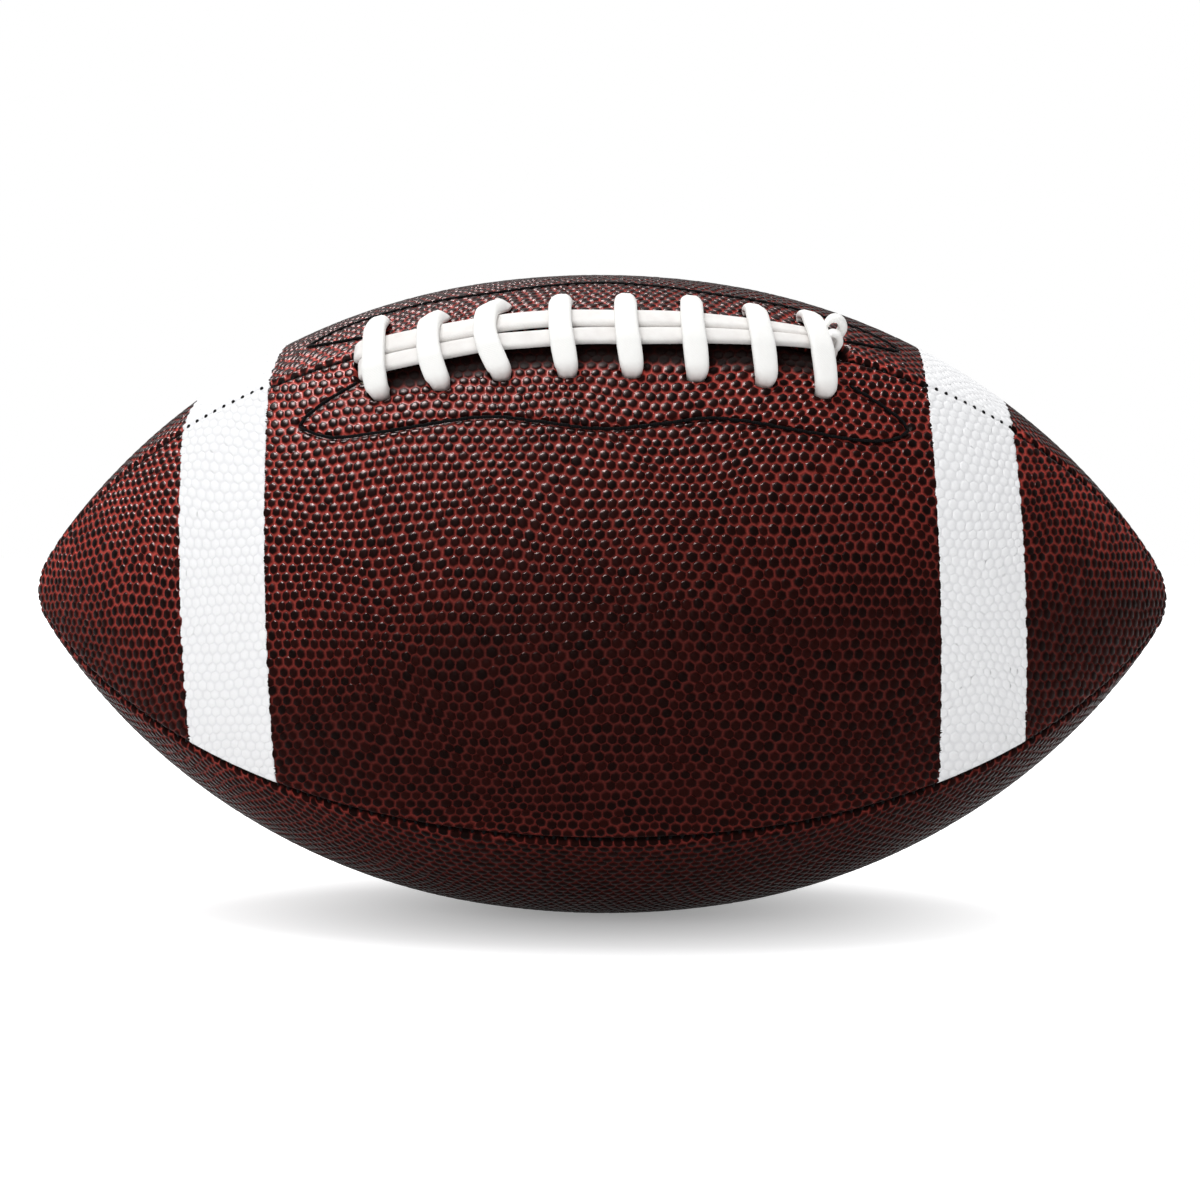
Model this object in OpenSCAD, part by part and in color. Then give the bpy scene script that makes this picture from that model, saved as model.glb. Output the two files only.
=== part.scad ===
// American football: four sewn panels, lining, laces, bladder and valve.
// X runs from tip to tip, Z is up, and the laces are rolled toward -Y.

/* [Ball] */
// Length from tip to tip
ball_length = 284; // [250:1:320]
// Diameter across the middles of two opposite panels
ball_diameter = 159.6; // [140:0.2:180]
// Radius of the blunt tips
tip_r = 12; // [10:0.5:16]
// Radius of the flatter curve along the middle of a panel
middle_curve_r = 200; // [180:1:260]
// Length of that flatter stretch
middle_curve_length = 62; // [40:1:90]
// Distance from the ball's axis to the axis that each panel is round about
panel_axis_offset = 21; // [12:0.5:28]
// Roll of the laces away from the top, in degrees
roll_angle = 40; // [0:1:90]

/* [Cover and lining] */
// Thickness of the leather
cover_t = 2; // [1.6:0.1:2.6]
// Thickness of the edges that are turned in and sewn
turned_edge_t = 1.9; // [1.7:0.1:2.6]
// Thickness of the fabric lining
lining_t = 1.2; // [0.8:0.1:1.6]
// Gap between the layers
layer_gap = 0.1; // [0.05:0.01:0.2]
// Half width of the seam groove at the surface
groove_half_w = 1.7; // [1.2:0.1:2.2]
// Depth of the first step of the seam groove
groove_step_depth = 0.7; // [0.4:0.1:0.9]
// Half width of the seam groove at its floor
groove_floor_half_w = 0.9; // [0.5:0.1:1.1]
// Depth of the seam groove
groove_depth = 1.6; // [1.2:0.1:2]

/* [Seam thread] */
// Diameter of the sewing thread
thread_d = 0.9; // [0.6:0.1:1]
// Spacing of the seam stitches
stitch_pitch = 2.7; // [2.2:0.1:5]
// Length of a stitch across the seam
stitch_length = 2.6; // [2:0.1:2.8]
// Gap around the thread in its channel
thread_gap = 0.1; // [0.05:0.01:0.15]
// Length without stitches at each tip, along the seam
tip_plain_length = 9; // [7:0.5:14]

/* [Stripes] */
// Distance from the tip to the outer edge of a stripe
stripe_tip_distance = 43; // [38:0.1:48]
// Width of a stripe along the ball's axis
stripe_w = 21.5; // [15:0.1:24]
// Thickness of the white coating
stripe_t = 0.25; // [0.15:0.05:0.4]
// Gap between the coating and its recess
stripe_gap = 0.05; // [0.02:0.01:0.1]

/* [Lacing] */
// Distance from the first and last bars to the stripes
lacing_stripe_gap = 26.5; // [24:0.5:30]
// Distance of the lace holes from the seam
hole_offset = 15; // [13:0.5:17]
// Radius of the lace holes
hole_r = 2.7; // [2.5:0.1:3.2]
// Width of the lace
lace_w = 6.2; // [4.6:0.1:6.4]
// Thickness of the lace
lace_t = 2.2; // [1.4:0.1:2.4]
// Width of the lace where it is squeezed through a hole
lace_hole_w = 4.2; // [3.6:0.1:4.6]
// Height of the lengthwise strands' centre above the leather
strand_height = 1.4; // [1.3:0.05:1.6]
// Distance of the lengthwise strands from the seam
strand_offset = 3.5; // [3.3:0.1:4]
// Gap between the strands and the bars over them
bar_gap = 0.65; // [0.6:0.05:1]
// Depth of the inner runs' centre below the leather's surface
inner_depth = 5; // [4.9:0.05:5.3]
// Half width of the slit under the laces
slit_half_w = 1.2; // [0.8:0.1:1.8]
// Distance from the first and last bars to the windows where the strands dive
bar_window_gap = 5.4; // [5:0.1:7]
// Length of a window along the seam
window_length = 4; // [3.6:0.1:4.6]
// Width of a window across the seam, on each side
window_w = 6.6; // [6.2:0.1:7.4]
// Distance from the first and last bars to where the edges are turned in again
bar_seam_gap = 17; // [17:0.5:23]

/* [Lace patches] */
// Distance from the first and last bars to the ends of the stitched line
bar_patch_gap = 20; // [17:0.5:22]
// Distance of the stitched line from the seam, at the middle
patch_line_w = 28; // [24:0.5:30]
// Width of the patch outside the stitched line
patch_margin = 2.4; // [1.5:0.1:3]
// Width of the stitched line
patch_stitch_w = 0.8; // [0.6:0.1:1]
// Depth of the groove that the stitched line is pressed into
patch_groove_depth = 0.5; // [0.3:0.05:0.6]
// Gap between the lace's inner runs and the tongue
tongue_gap = 0.4; // [0.3:0.05:0.6]
// Thickness of the tongue between the laces and the bladder
tongue_t = 0.9; // [0.6:0.1:1.2]
// Width of the tongue
tongue_w = 38; // [34:0.5:42]
// Length of the tongue
tongue_length = 132; // [128:1:135]

/* [Bladder and valve] */
// Thickness of the bladder's wall
bladder_t = 1; // [0.8:0.1:1.4]
// Gap between the bladder and what lies round it
bladder_gap = 0.2; // [0.1:0.05:0.4]
// Radius of the hole in the leather over the valve
valve_hole_r = 3.4; // [3.2:0.1:4]
// Radius of the valve's stem
valve_stem_r = 3.2; // [3:0.1:3.4]
// Depth of the stem's top below the leather's surface
valve_top_depth = 0.6; // [0.4:0.1:1]
// Length of the valve's body inside the bladder
valve_body_length = 12; // [10:0.5:16]
// Radius of the valve's body inside the bladder
valve_body_r = 5; // [4.6:0.1:6]
// Radius of the valve's core
valve_core_r = 2.1; // [1.9:0.1:2.3]
// Length of the valve's core
valve_core_length = 10; // [8:0.5:11]
// Radius of the bore that takes the inflating needle
needle_bore_r = 1.1; // [1:0.05:1.2]
// Radius of the channel below the core, which the needle passes through
needle_channel_r = 1.6; // [1.4:0.1:1.8]
// Radius of the patch that joins the valve to the bladder
valve_patch_r = 14; // [11:0.5:18]
// Thickness of that patch
valve_patch_t = 1; // [0.8:0.1:1.4]

/* [Hidden] */

leather = "#6b2f22";
lining_cloth = "#d8cdb8";
white_coat = "#f2f1ec";
black_thread = "#18171a";
lace_cream = "#efece2";
patch_cloth = "#b9a98a";
bladder_black = "#2a2a2c";
valve_rubber = "#3a3a3c";

turn_facets = 120;
round_facets = 48;
overrun = 1;

// The outline along a panel's middle is three tangent arcs, counted by the
// angle of their normal from the ball's middle plane.
half_length = ball_length / 2;
flat_r = ball_diameter / 2;
tip_flat_angle = 8;
middle_angle = asin(middle_curve_length / 2 / middle_curve_r);
middle_centre = [0, flat_r - middle_curve_r];
middle_normal = [sin(middle_angle), cos(middle_angle)];
middle_end = middle_centre + middle_curve_r * middle_normal;
tip_centre = [half_length - tip_r * cos(tip_flat_angle), 0];
to_middle_end = middle_end - tip_centre;
side_curve_r = (to_middle_end * to_middle_end - tip_r * tip_r)
    / (2 * (to_middle_end * middle_normal - tip_r));
side_centre = middle_end - side_curve_r * middle_normal;
side_angle = atan2(tip_centre[0] - side_centre[0], -side_centre[1]);

middle_steps = 3;
side_steps = 13;
tip_steps = 4;

function on_arc(centre, r, angle) = centre + r * [sin(angle), cos(angle)];
function meridian_point(angle, depth) =
    angle < 0 ? [-meridian_point(-angle, depth)[0], meridian_point(-angle, depth)[1]]
    : angle <= middle_angle ? on_arc(middle_centre, middle_curve_r - depth, angle)
    : angle <= side_angle ? on_arc(side_centre, side_curve_r - depth, angle)
    : on_arc(tip_centre, tip_r - depth, angle);
half_angles = concat(
    [for (i = [0 : middle_steps - 1]) middle_angle * i / middle_steps],
    [for (i = [0 : side_steps - 1])
        middle_angle + (side_angle - middle_angle) * i / side_steps],
    [for (i = [0 : tip_steps])
        side_angle + (90 - tip_flat_angle - side_angle) * i / tip_steps],
    [90 + tip_flat_angle]
);
angle_count = len(half_angles);
meridian_angles = concat(
    [for (i = [angle_count - 1 : -1 : 1]) -half_angles[i]],
    half_angles
);

// Distance along the outline from its middle to the angle of the normal there.
middle_arc_length = middle_curve_r * middle_angle * PI / 180;
side_arc_length = side_curve_r * (side_angle - middle_angle) * PI / 180;
tip_arc_length = tip_r * (90 - side_angle) * PI / 180;
half_arc_length = middle_arc_length + side_arc_length + tip_arc_length;
function angle_at(distance) =
    distance < 0 ? -angle_at(-distance)
    : distance <= middle_arc_length ? distance / middle_curve_r * 180 / PI
    : distance <= middle_arc_length + side_arc_length
        ? middle_angle + (distance - middle_arc_length) / side_curve_r * 180 / PI
    : side_angle + (distance - middle_arc_length - side_arc_length) / tip_r * 180 / PI;

// Outline radius at a place along the ball's axis, between the two tip arcs.
function circle_y(r, x) = sqrt(r * r - x * x);
function depth_r(x, depth) = abs(x) <= middle_end[0]
    ? middle_centre[1] + circle_y(middle_curve_r - depth, x)
    : side_centre[1] + circle_y(side_curve_r - depth, abs(x) - side_centre[0]);
function outline_r(x) = depth_r(x, 0);

// Radius of the ball's corner at a seam, from the outline radius there.
corner_offset = panel_axis_offset * sqrt(0.5);
function corner_r(r) = sqrt(
    (r + panel_axis_offset) * (r + panel_axis_offset) - corner_offset * corner_offset
) - corner_offset;

lining_depth = cover_t + layer_gap;
bladder_depth = lining_depth + lining_t + bladder_gap;
inner_top_depth = inner_depth - lace_t / 2;
tongue_depth = inner_depth + lace_t / 2 + tongue_gap;
dent_margin = 2;
channel_half_w = stitch_length / 2 + thread_gap;
channel_depth = groove_depth + thread_d + 2 * thread_gap;
thread_depth = groove_depth + thread_gap + thread_d / 2;
stripe_outer_x = half_length - stripe_tip_distance;
stripe_inner_x = stripe_outer_x - stripe_w;
lacing_half_length = stripe_inner_x - lacing_stripe_gap;
lacing_length = 2 * lacing_half_length;
window_x = lacing_half_length + bar_window_gap;
open_seam_half_length = lacing_half_length + bar_seam_gap;
patch_half_length = lacing_half_length + bar_patch_gap;
wedge_size = ball_diameter;

// Everything inside the surface at this depth, about an axis this far from X.
module turned(depth, axis_offset) {
    tip_x = meridian_point(90 - tip_flat_angle, depth)[0];
    outline = [for (angle = meridian_angles)
        let (p = meridian_point(angle, depth)) [max(0, p[1] + axis_offset), p[0]]];
    foot = axis_offset > 0 ? [[0, tip_x], [0, -tip_x]] : [];
    rotate([0, 90, 0])
        rotate_extrude($fn = turn_facets)
            polygon(concat(outline, foot));
}

// Inside of one panel's surface at this depth, with the panel's middle up.
module panel_inside(depth) {
    translate([0, 0, -panel_axis_offset])
        turned(depth, panel_axis_offset);
}

// The quarter of space that one panel fills, drawn in from both seam planes.
module quarter(inset) {
    rotate([45, 0, 0])
        translate([-ball_length, inset, inset])
            cube([2 * ball_length, wedge_size, wedge_size]);
}

module quarter_inside(depth, inset) {
    intersection() {
        panel_inside(depth);
        quarter(inset);
    }
}

// Side is 1 for the rear and -1 for the front.
module to_lace(side) { rotate([-45 * side, 0, 0]) children(); }
module to_belly_front() { rotate([135, 0, 0]) children(); }
module to_belly_rear() { rotate([-135, 0, 0]) children(); }
module rolled() { rotate([roll_angle, 0, 0]) children(); }

// A slab across the ball between two places on its axis.
module slab(x0, x1) {
    translate([x0, -ball_diameter, -ball_diameter])
        cube([x1 - x0, 2 * ball_diameter, 2 * ball_diameter]);
}

// A panel with its turned-in edges and the stepped groove along its seams.
module plain_cover() {
    difference() {
        union() {
            quarter_inside(0, groove_half_w);
            quarter_inside(groove_step_depth, groove_floor_half_w);
            quarter_inside(groove_depth, 0);
        }
        quarter_inside(cover_t, turned_edge_t);
        turned(bladder_depth - bladder_gap, 0);
        difference() {
            panel_inside(groove_depth - thread_gap);
            panel_inside(channel_depth);
            quarter(channel_half_w);
        }
    }
}

// Places of the laces, in the ball's frame with the lace seam up:
// x along the ball, y across the seam and h above the leather.
bar_place_shares = [-0.515, -0.371, -0.235, -0.09, 0.056, 0.204, 0.354, 0.485];
bar_lean_shares = [0.006, 0, 0.002, 0.007, 0.007, 0.005, 0.011, 0.017];
bar_bow_shares = [0, 0.015, 0.027, 0.009, 0.008, 0.008, 0.006, 0.006];
bar_count = len(bar_place_shares);
crest_round = 2;
function bar_x(i, side) =
    lacing_length * (bar_place_shares[i] - side * bar_lean_shares[i]);
function crest_z(x, y) =
    let (across = sqrt(y * y + crest_round * crest_round) + corner_offset,
        r = outline_r(x) + panel_axis_offset)
    sqrt(r * r - across * across) - corner_offset;
slope_step = 0.5;
function unit(v) = v / norm(v);
function crest_normal(x, y) = unit([
    (crest_z(x - slope_step, y) - crest_z(x + slope_step, y)) / (2 * slope_step),
    (crest_z(x, y - slope_step) - crest_z(x, y + slope_step)) / (2 * slope_step),
    1
]);
function on_ball(x, y, h) = [x, y, crest_z(x, y)] + h * crest_normal(x, y);

// Leather's surface without the rounded crest, for the holes.
function leather_z(x, y) =
    let (r = outline_r(x) + panel_axis_offset, across = abs(y) + corner_offset)
    sqrt(r * r - across * across) - corner_offset;

module lace_holes(side) {
    for (i = [0 : bar_count - 1]) {
        x = bar_x(i, side);
        n = crest_normal(x, side * hole_offset);
        translate([x, side * hole_offset, leather_z(x, hole_offset)])
            rotate([-asin(n[1]), atan2(n[0], n[2]), 0])
                translate([0, 0, -inner_top_depth - overrun])
                    cylinder(h = inner_top_depth + 3 * overrun, r = hole_r, $fn = round_facets);
    }
}

// The slit, the windows at its ends and the room without turned edges.
module slit_cut() {
    top = flat_r + panel_axis_offset;
    slit_bottom = flat_r / 2;
    translate([-window_x, -slit_half_w, slit_bottom])
        cube([2 * window_x, 2 * slit_half_w, top - slit_bottom]);
    for (x = [-window_x, window_x])
        translate([x - window_length / 2, -window_w, slit_bottom])
            cube([window_length, 2 * window_w, top - slit_bottom]);
    edge_room = turned_edge_t + layer_gap;
    intersection() {
        translate([-open_seam_half_length, -edge_room, 0])
            cube([2 * open_seam_half_length, 2 * edge_room, top]);
        union() {
            to_lace(-1) quarter_inside(cover_t, 0);
            to_lace(1) quarter_inside(cover_t, 0);
        }
    }
}

// The stitched line round the lacing, as shares of its half length and width.
line_shares = [[-0.81, 0.31], [-0.93, 0.4], [-1, 0.53], [-0.93, 0.71], [-0.83, 0.79],
    [-0.62, 0.84], [-0.37, 0.85], [-0.2, 0.93], [0, 1], [0.2, 0.93], [0.37, 0.85],
    [0.62, 0.84], [0.83, 0.79], [0.93, 0.71], [1, 0.53], [0.93, 0.4], [0.81, 0.31]];
line_steps = 3;
line_points = [for (p = line_shares) [p[0] * patch_half_length, p[1] * patch_line_w]];
line_count = len(line_points);
function clamp_index(i, count) = max(0, min(count - 1, i));
function curve_point(points, i, u) =
    let (count = len(points),
        a = points[clamp_index(i - 1, count)],
        b = points[clamp_index(i, count)],
        c = points[clamp_index(i + 1, count)],
        d = points[clamp_index(i + 2, count)])
    ((2 * b) + (c - a) * u + (2 * a - 5 * b + 4 * c - d) * u * u
        + (3 * b - a - 3 * c + d) * u * u * u) / 2;
line_curve = concat(
    [for (i = [0 : line_count - 2], k = [0 : line_steps - 1])
        curve_point(line_points, i, k / line_steps)],
    [line_points[line_count - 1]]
);
curve_count = len(line_curve);
function line_normal(i) =
    let (t = unit(line_curve[clamp_index(i + 1, curve_count)]
        - line_curve[clamp_index(i - 1, curve_count)]))
    [-t[1], t[0]];
function offset_line(distance) =
    [for (i = [0 : curve_count - 1]) line_curve[i] + distance * line_normal(i)];
function reversed(points) = [for (i = [len(points) - 1 : -1 : 0]) points[i]];

// Column over a flat outline on one side of the seam, high enough to cut the shell.
module column(points, side) {
    mirror([0, side < 0 ? 1 : 0, 0])
        linear_extrude(height = flat_r + panel_axis_offset)
            polygon(points);
}

module line_band(width, side) {
    column(concat(offset_line(width / 2), reversed(offset_line(-width / 2))), side);
}

// The patches end in the windows at the ends of the slit.
patch_inner_x = window_x;

module lace_cover(side) {
    difference() {
        to_lace(side) plain_cover();
        slit_cut();
        lace_holes(side);
        difference() {
            line_band(patch_stitch_w + 2 * thread_gap, side);
            to_lace(side) panel_inside(patch_groove_depth);
        }
        for (m = [0, 1])
            mirror([m, 0, 0])
                difference() {
                    slab(stripe_inner_x - stripe_gap, stripe_outer_x + stripe_gap);
                    to_lace(side) panel_inside(stripe_t + stripe_gap);
                }
    }
}

module cover_panel_lace_front() { color(leather) rolled() lace_cover(-1); }
module cover_panel_lace_rear() { color(leather) rolled() lace_cover(1); }
module cover_panel_belly_front() { color(leather) rolled() to_belly_front() plain_cover(); }
module cover_panel_belly_rear() {
    color(leather) rolled() to_belly_rear() difference() {
        plain_cover();
        translate([0, 0, flat_r - cover_t - overrun])
            cylinder(h = cover_t + 2 * overrun, r = valve_hole_r, $fn = round_facets);
    }
}

// A lining panel, clear of the turned-in edges.
module plain_lining() {
    difference() {
        quarter_inside(lining_depth, turned_edge_t + layer_gap);
        panel_inside(lining_depth + lining_t);
    }
}

module lace_lining(side) {
    difference() {
        to_lace(side) plain_lining();
        column(concat(
            [[-open_seam_half_length, -overrun]],
            offset_line(patch_margin + layer_gap),
            [[open_seam_half_length, -overrun]]
        ), side);
    }
}

module lining_panel_lace_front() { color(lining_cloth) rolled() lace_lining(-1); }
module lining_panel_lace_rear() { color(lining_cloth) rolled() lace_lining(1); }
module lining_panel_belly_front() {
    color(lining_cloth) rolled() to_belly_front() plain_lining();
}
module lining_panel_belly_rear() {
    color(lining_cloth) rolled() to_belly_rear() difference() {
        plain_lining();
        translate([0, 0, flat_r / 2])
            cylinder(h = flat_r, r = valve_hole_r, $fn = round_facets);
    }
}

// White coating of one stripe, flush in its recess.
module stripe(side) {
    difference() {
        intersection() {
            quarter_inside(0, groove_half_w + stripe_gap);
            slab(stripe_inner_x, stripe_outer_x);
        }
        panel_inside(stripe_t);
    }
}

module stripe_left_front() {
    color(white_coat) rolled() to_lace(-1) mirror([1, 0, 0]) stripe();
}
module stripe_left_rear() {
    color(white_coat) rolled() to_lace(1) mirror([1, 0, 0]) stripe();
}
module stripe_right_front() { color(white_coat) rolled() to_lace(-1) stripe(); }
module stripe_right_rear() { color(white_coat) rolled() to_lace(1) stripe(); }

// Stitches across a seam that lies in the upper half of the XZ plane.
module stitches(from, to) {
    count = floor((to - from) / stitch_pitch);
    start = (from + to - count * stitch_pitch) / 2;
    for (i = [0 : count]) {
        angle = angle_at(start + i * stitch_pitch);
        p = meridian_point(angle, thread_depth);
        translate([p[0], 0, corner_r(p[1])])
            rotate([90, 0, 0])
                cylinder(h = stitch_length, r = thread_d / 2, center = true, $fn = 16);
    }
}

seam_end = half_arc_length - tip_plain_length;
module thread_lace_seam_left() {
    color(black_thread) rolled() stitches(-seam_end, -open_seam_half_length - stitch_pitch);
}
module thread_lace_seam_right() {
    color(black_thread) rolled() stitches(open_seam_half_length + stitch_pitch, seam_end);
}
module thread_front_seam() {
    color(black_thread) rolled() rotate([90, 0, 0]) stitches(-seam_end, seam_end);
}
module thread_rear_seam() {
    color(black_thread) rolled() rotate([-90, 0, 0]) stitches(-seam_end, seam_end);
}
module thread_belly_seam() {
    color(black_thread) rolled() rotate([180, 0, 0]) stitches(-seam_end, seam_end);
}

// One lace, as places [x, y, h, width, [width direction in x and y]].
bar_height = strand_height + lace_t + bar_gap;
bar_across_shares = [1, 0.993, 0.93, 0.77, 0.6, 0.43, 0.15];
bar_height_shares = [-0.39, 0.05, 0.36, 0.57, 0.83, 1, 1];
inner_across_shares = [0.84, 0.97];
inner_depth_shares = [1, 0.7];
// Each turn into a window: share of the window's length past its middle, share
// of the strand's height, and share of its width.
turn_shares = [[-0.48, 1.02, 0.9], [-0.12, 0.7, 0.8]];
// Below the leather: share of the window's length, and of the inner runs' depth.
sink_shares = [[0.08, 0.18], [0.1, 0.69]];
// Between a window and the nearest hole: share of the window's length back from
// it, and share of the way out from the strand to the holes.
end_run_shares = [[0.4, 0.3], [1, 0.63]];
end_run_angles = [60, 30];
inner_run_angle = 26;
strand_keys = 12;
tail_length = 7;
along_ball = [1, 0];
across_ball = [0, 1];
strand_end_x = window_x - window_length;

function toward(angle) = [cos(angle), sin(angle)];
function bar_half(i, side) = [for (k = [0 : len(bar_across_shares) - 1]) [
    bar_x(i, side) + (bar_x(i, -side) - bar_x(i, side)) * (1 - bar_across_shares[k]) / 2
        - lacing_length * bar_bow_shares[i] * pow(1 - pow(bar_across_shares[k], 2), 1.5),
    side * hole_offset * bar_across_shares[k],
    bar_height * bar_height_shares[k],
    lace_hole_w + (lace_w - lace_hole_w) * min(1, k / 2),
    along_ball
]];
function bar_foot(i, side) = [for (k = [0 : len(inner_across_shares) - 1]) [
    bar_x(i, side), side * hole_offset * inner_across_shares[k],
    -inner_depth * inner_depth_shares[k], lace_hole_w, along_ball
]];
function bar_keys(i) = concat(
    bar_foot(i, -1), bar_half(i, -1), reversed(bar_half(i, 1)), reversed(bar_foot(i, 1))
);
inner_run_shares = [0.25, 0.5, 0.75];
function inner_run(i) = [for (u = inner_run_shares) [
    bar_x(i, 1) + (bar_x(i + 1, -1) - bar_x(i, 1)) * u,
    hole_offset * (1 - 2 * u) * inner_across_shares[0],
    -inner_depth, lace_hole_w, toward(inner_run_angle)
]];

// The strand's dive at the window on one end, from the leather down.
function dive(end, side) = concat(
    [for (p = turn_shares) [end * (window_x + p[0] * window_length),
        side * strand_offset, p[1] * strand_height, p[2] * lace_w]],
    [for (p = sink_shares) [end * (window_x + p[0] * window_length),
        side * strand_offset, -p[1] * inner_depth, lace_hole_w]]
);
function tail(end, side) = [for (x = [window_x + window_length / 2, window_x + tail_length])
    [end * x, side * strand_offset, -inner_depth, lace_hole_w]];
function with_hint(keys, hint) = [for (key = keys) concat(key, [hint])];
function strand(side) = [for (k = [0 : strand_keys]) [
    strand_end_x * (1 - 2 * k / strand_keys), side * strand_offset, strand_height, lace_w
]];
function end_run(end) = [for (k = [0 : len(end_run_shares) - 1]) [
    end * (window_x - end_run_shares[k][0] * window_length),
    end * (strand_offset + end_run_shares[k][1] * (hole_offset - strand_offset)),
    -inner_depth, lace_hole_w, toward(end_run_angles[k])
]];
lace_keys = concat(
    with_hint(reversed(tail(1, -1)), across_ball),
    with_hint(reversed(dive(1, -1)), across_ball),
    with_hint(strand(-1), across_ball),
    with_hint(dive(-1, -1), across_ball),
    end_run(-1),
    [for (i = [0 : bar_count - 1])
        each concat(bar_keys(i), i < bar_count - 1 ? inner_run(i) : [])],
    reversed(end_run(1)),
    with_hint(reversed(dive(1, 1)), across_ball),
    with_hint(strand(1), across_ball),
    with_hint(dive(-1, 1), across_ball),
    with_hint(tail(-1, 1), across_ball)
);
ring_count = len(lace_keys);
lace_places = [for (key = lace_keys) on_ball(key[0], key[1], key[2])];
function lace_along(i) = unit(
    lace_places[clamp_index(i + 1, ring_count)] - lace_places[clamp_index(i - 1, ring_count)]
);
function lace_across(i) =
    let (hint = [lace_keys[i][4][0], lace_keys[i][4][1], 0],
        n = crest_normal(lace_keys[i][0], lace_keys[i][1]),
        flat_hint = hint - (hint * n) * n,
        along = lace_along(i))
    unit(flat_hint - (flat_hint * along) * along);
lace_acrosses = [for (i = [0 : ring_count - 1]) lace_across(i)];
lace_ups = [for (i = [0 : ring_count - 1]) cross(lace_acrosses[i], lace_along(i))];
section_shares = [[1, 0.4], [0.75, 1], [-0.75, 1], [-1, 0.4],
    [-1, -0.4], [-0.75, -1], [0.75, -1], [1, -0.4]];
section_count = len(section_shares);
function lace_ring(i) = [for (p = section_shares)
    lace_places[i] + lace_acrosses[i] * p[0] * lace_keys[i][3] / 2
        + lace_ups[i] * p[1] * lace_t / 2];
lace_rings = [for (i = [0 : ring_count - 1]) lace_ring(i)];

// Distance from a point to the stretch of lace between two rings, taken as a box.
function beyond(value, limit) = max(0, abs(value) - limit);
function gap_to_stretch(p, j) =
    let (a = lace_places[j],
        b = lace_places[j + 1],
        middle = (a + b) / 2,
        along = unit(b - a),
        across = unit(lace_acrosses[j] + lace_acrosses[j + 1]),
        up = cross(across, along),
        d = p - middle)
    norm([beyond(d * along, norm(b - a) / 2), beyond(d * across, lace_keys[j][3] / 2),
        beyond(d * up, lace_t / 2)]);
gap_skip = 5;
gap_reach = 12;
function least_gap() = min([for (i = [0 : ring_count - 1], j = [0 : ring_count - 2])
    if (abs(i - j) > gap_skip && norm(lace_places[i] - lace_places[j]) < gap_reach)
        min([for (p = lace_rings[i]) gap_to_stretch(p, j)])]);

module lace() {
    echo(lace_least_gap_to_itself = least_gap(), rings = ring_count);
    points = [for (ring = lace_rings) each ring];
    sides = [for (i = [0 : ring_count - 2], k = [0 : section_count - 1])
        let (a = i * section_count + k,
            b = i * section_count + (k + 1) % section_count,
            c = a + section_count,
            d = b + section_count)
        each [[a, c, b], [b, c, d]]];
    first_cap = [for (k = [1 : section_count - 2]) [0, k, k + 1]];
    last = (ring_count - 1) * section_count;
    last_cap = [for (k = [1 : section_count - 2]) [last, last + k + 1, last + k]];
    color(lace_cream) rolled()
        polyhedron(points = points, faces = concat(sides, first_cap, last_cap), convexity = 10);
}

// A patch under the lace holes of one panel.
module lace_patch(side) {
    difference() {
        intersection() {
            to_lace(side) quarter_inside(lining_depth, 0);
            column(concat(
                [[-patch_inner_x, -overrun]], offset_line(patch_margin), [[patch_inner_x, -overrun]]
            ), side);
        }
        to_lace(side) panel_inside(lining_depth + lining_t);
        slit_cut();
        lace_holes(side);
    }
}

module patch_stitching(side) {
    difference() {
        intersection() {
            to_lace(side) panel_inside(thread_gap);
            line_band(patch_stitch_w, side);
        }
        to_lace(side) panel_inside(patch_groove_depth - thread_gap);
    }
}

module lace_patch_front() { color(patch_cloth) rolled() lace_patch(-1); }
module lace_patch_rear() { color(patch_cloth) rolled() lace_patch(1); }
module patch_stitching_front() { color(black_thread) rolled() patch_stitching(-1); }
module patch_stitching_rear() { color(black_thread) rolled() patch_stitching(1); }

module lace_box(margin) {
    length = tongue_length + 2 * margin;
    width = tongue_w + 2 * margin;
    translate([-length / 2, -width / 2, flat_r / 4])
        cube([length, width, flat_r + panel_axis_offset]);
}

module tongue_half() {
    difference() {
        quarter_inside(tongue_depth, 0);
        panel_inside(tongue_depth + tongue_t);
    }
}

module lace_tongue() {
    color(patch_cloth) rolled() {
        intersection() {
            to_lace(-1) tongue_half();
            lace_box(0);
        }
        intersection() {
            to_lace(1) tongue_half();
            lace_box(0);
        }
    }
}

// The dent that the tongue's edges press into the bladder.
function tongue_edge_z(x) =
    circle_y(depth_r(x, tongue_depth + tongue_t) + panel_axis_offset, tongue_w / 2 + corner_offset)
    - corner_offset;
function dent_r(x) = norm([tongue_w / 2, tongue_edge_z(x) - 2 * bladder_gap]);
middle_dent = flat_r - bladder_depth - dent_r(0);
end_dent = side_curve_r - bladder_depth
    - norm([dent_r(tongue_length / 2) - side_centre[1], tongue_length / 2 - side_centre[0]]);
dent_depth = max(0, middle_dent, end_dent);
module dent(grow) {
    difference() {
        lace_box(dent_margin + grow);
        turned(bladder_depth + dent_depth + grow, 0);
    }
}

valve_stem_top = flat_r - valve_top_depth;
module bladder() {
    color(bladder_black) rolled()
        difference() {
            turned(bladder_depth, 0);
            dent(0);
            difference() {
                turned(bladder_depth + bladder_t, 0);
                dent(bladder_t);
            }
            to_belly_rear()
                translate([0, 0, flat_r / 2])
                    cylinder(h = flat_r, r = valve_stem_r + layer_gap, $fn = round_facets);
        }
}

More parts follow.
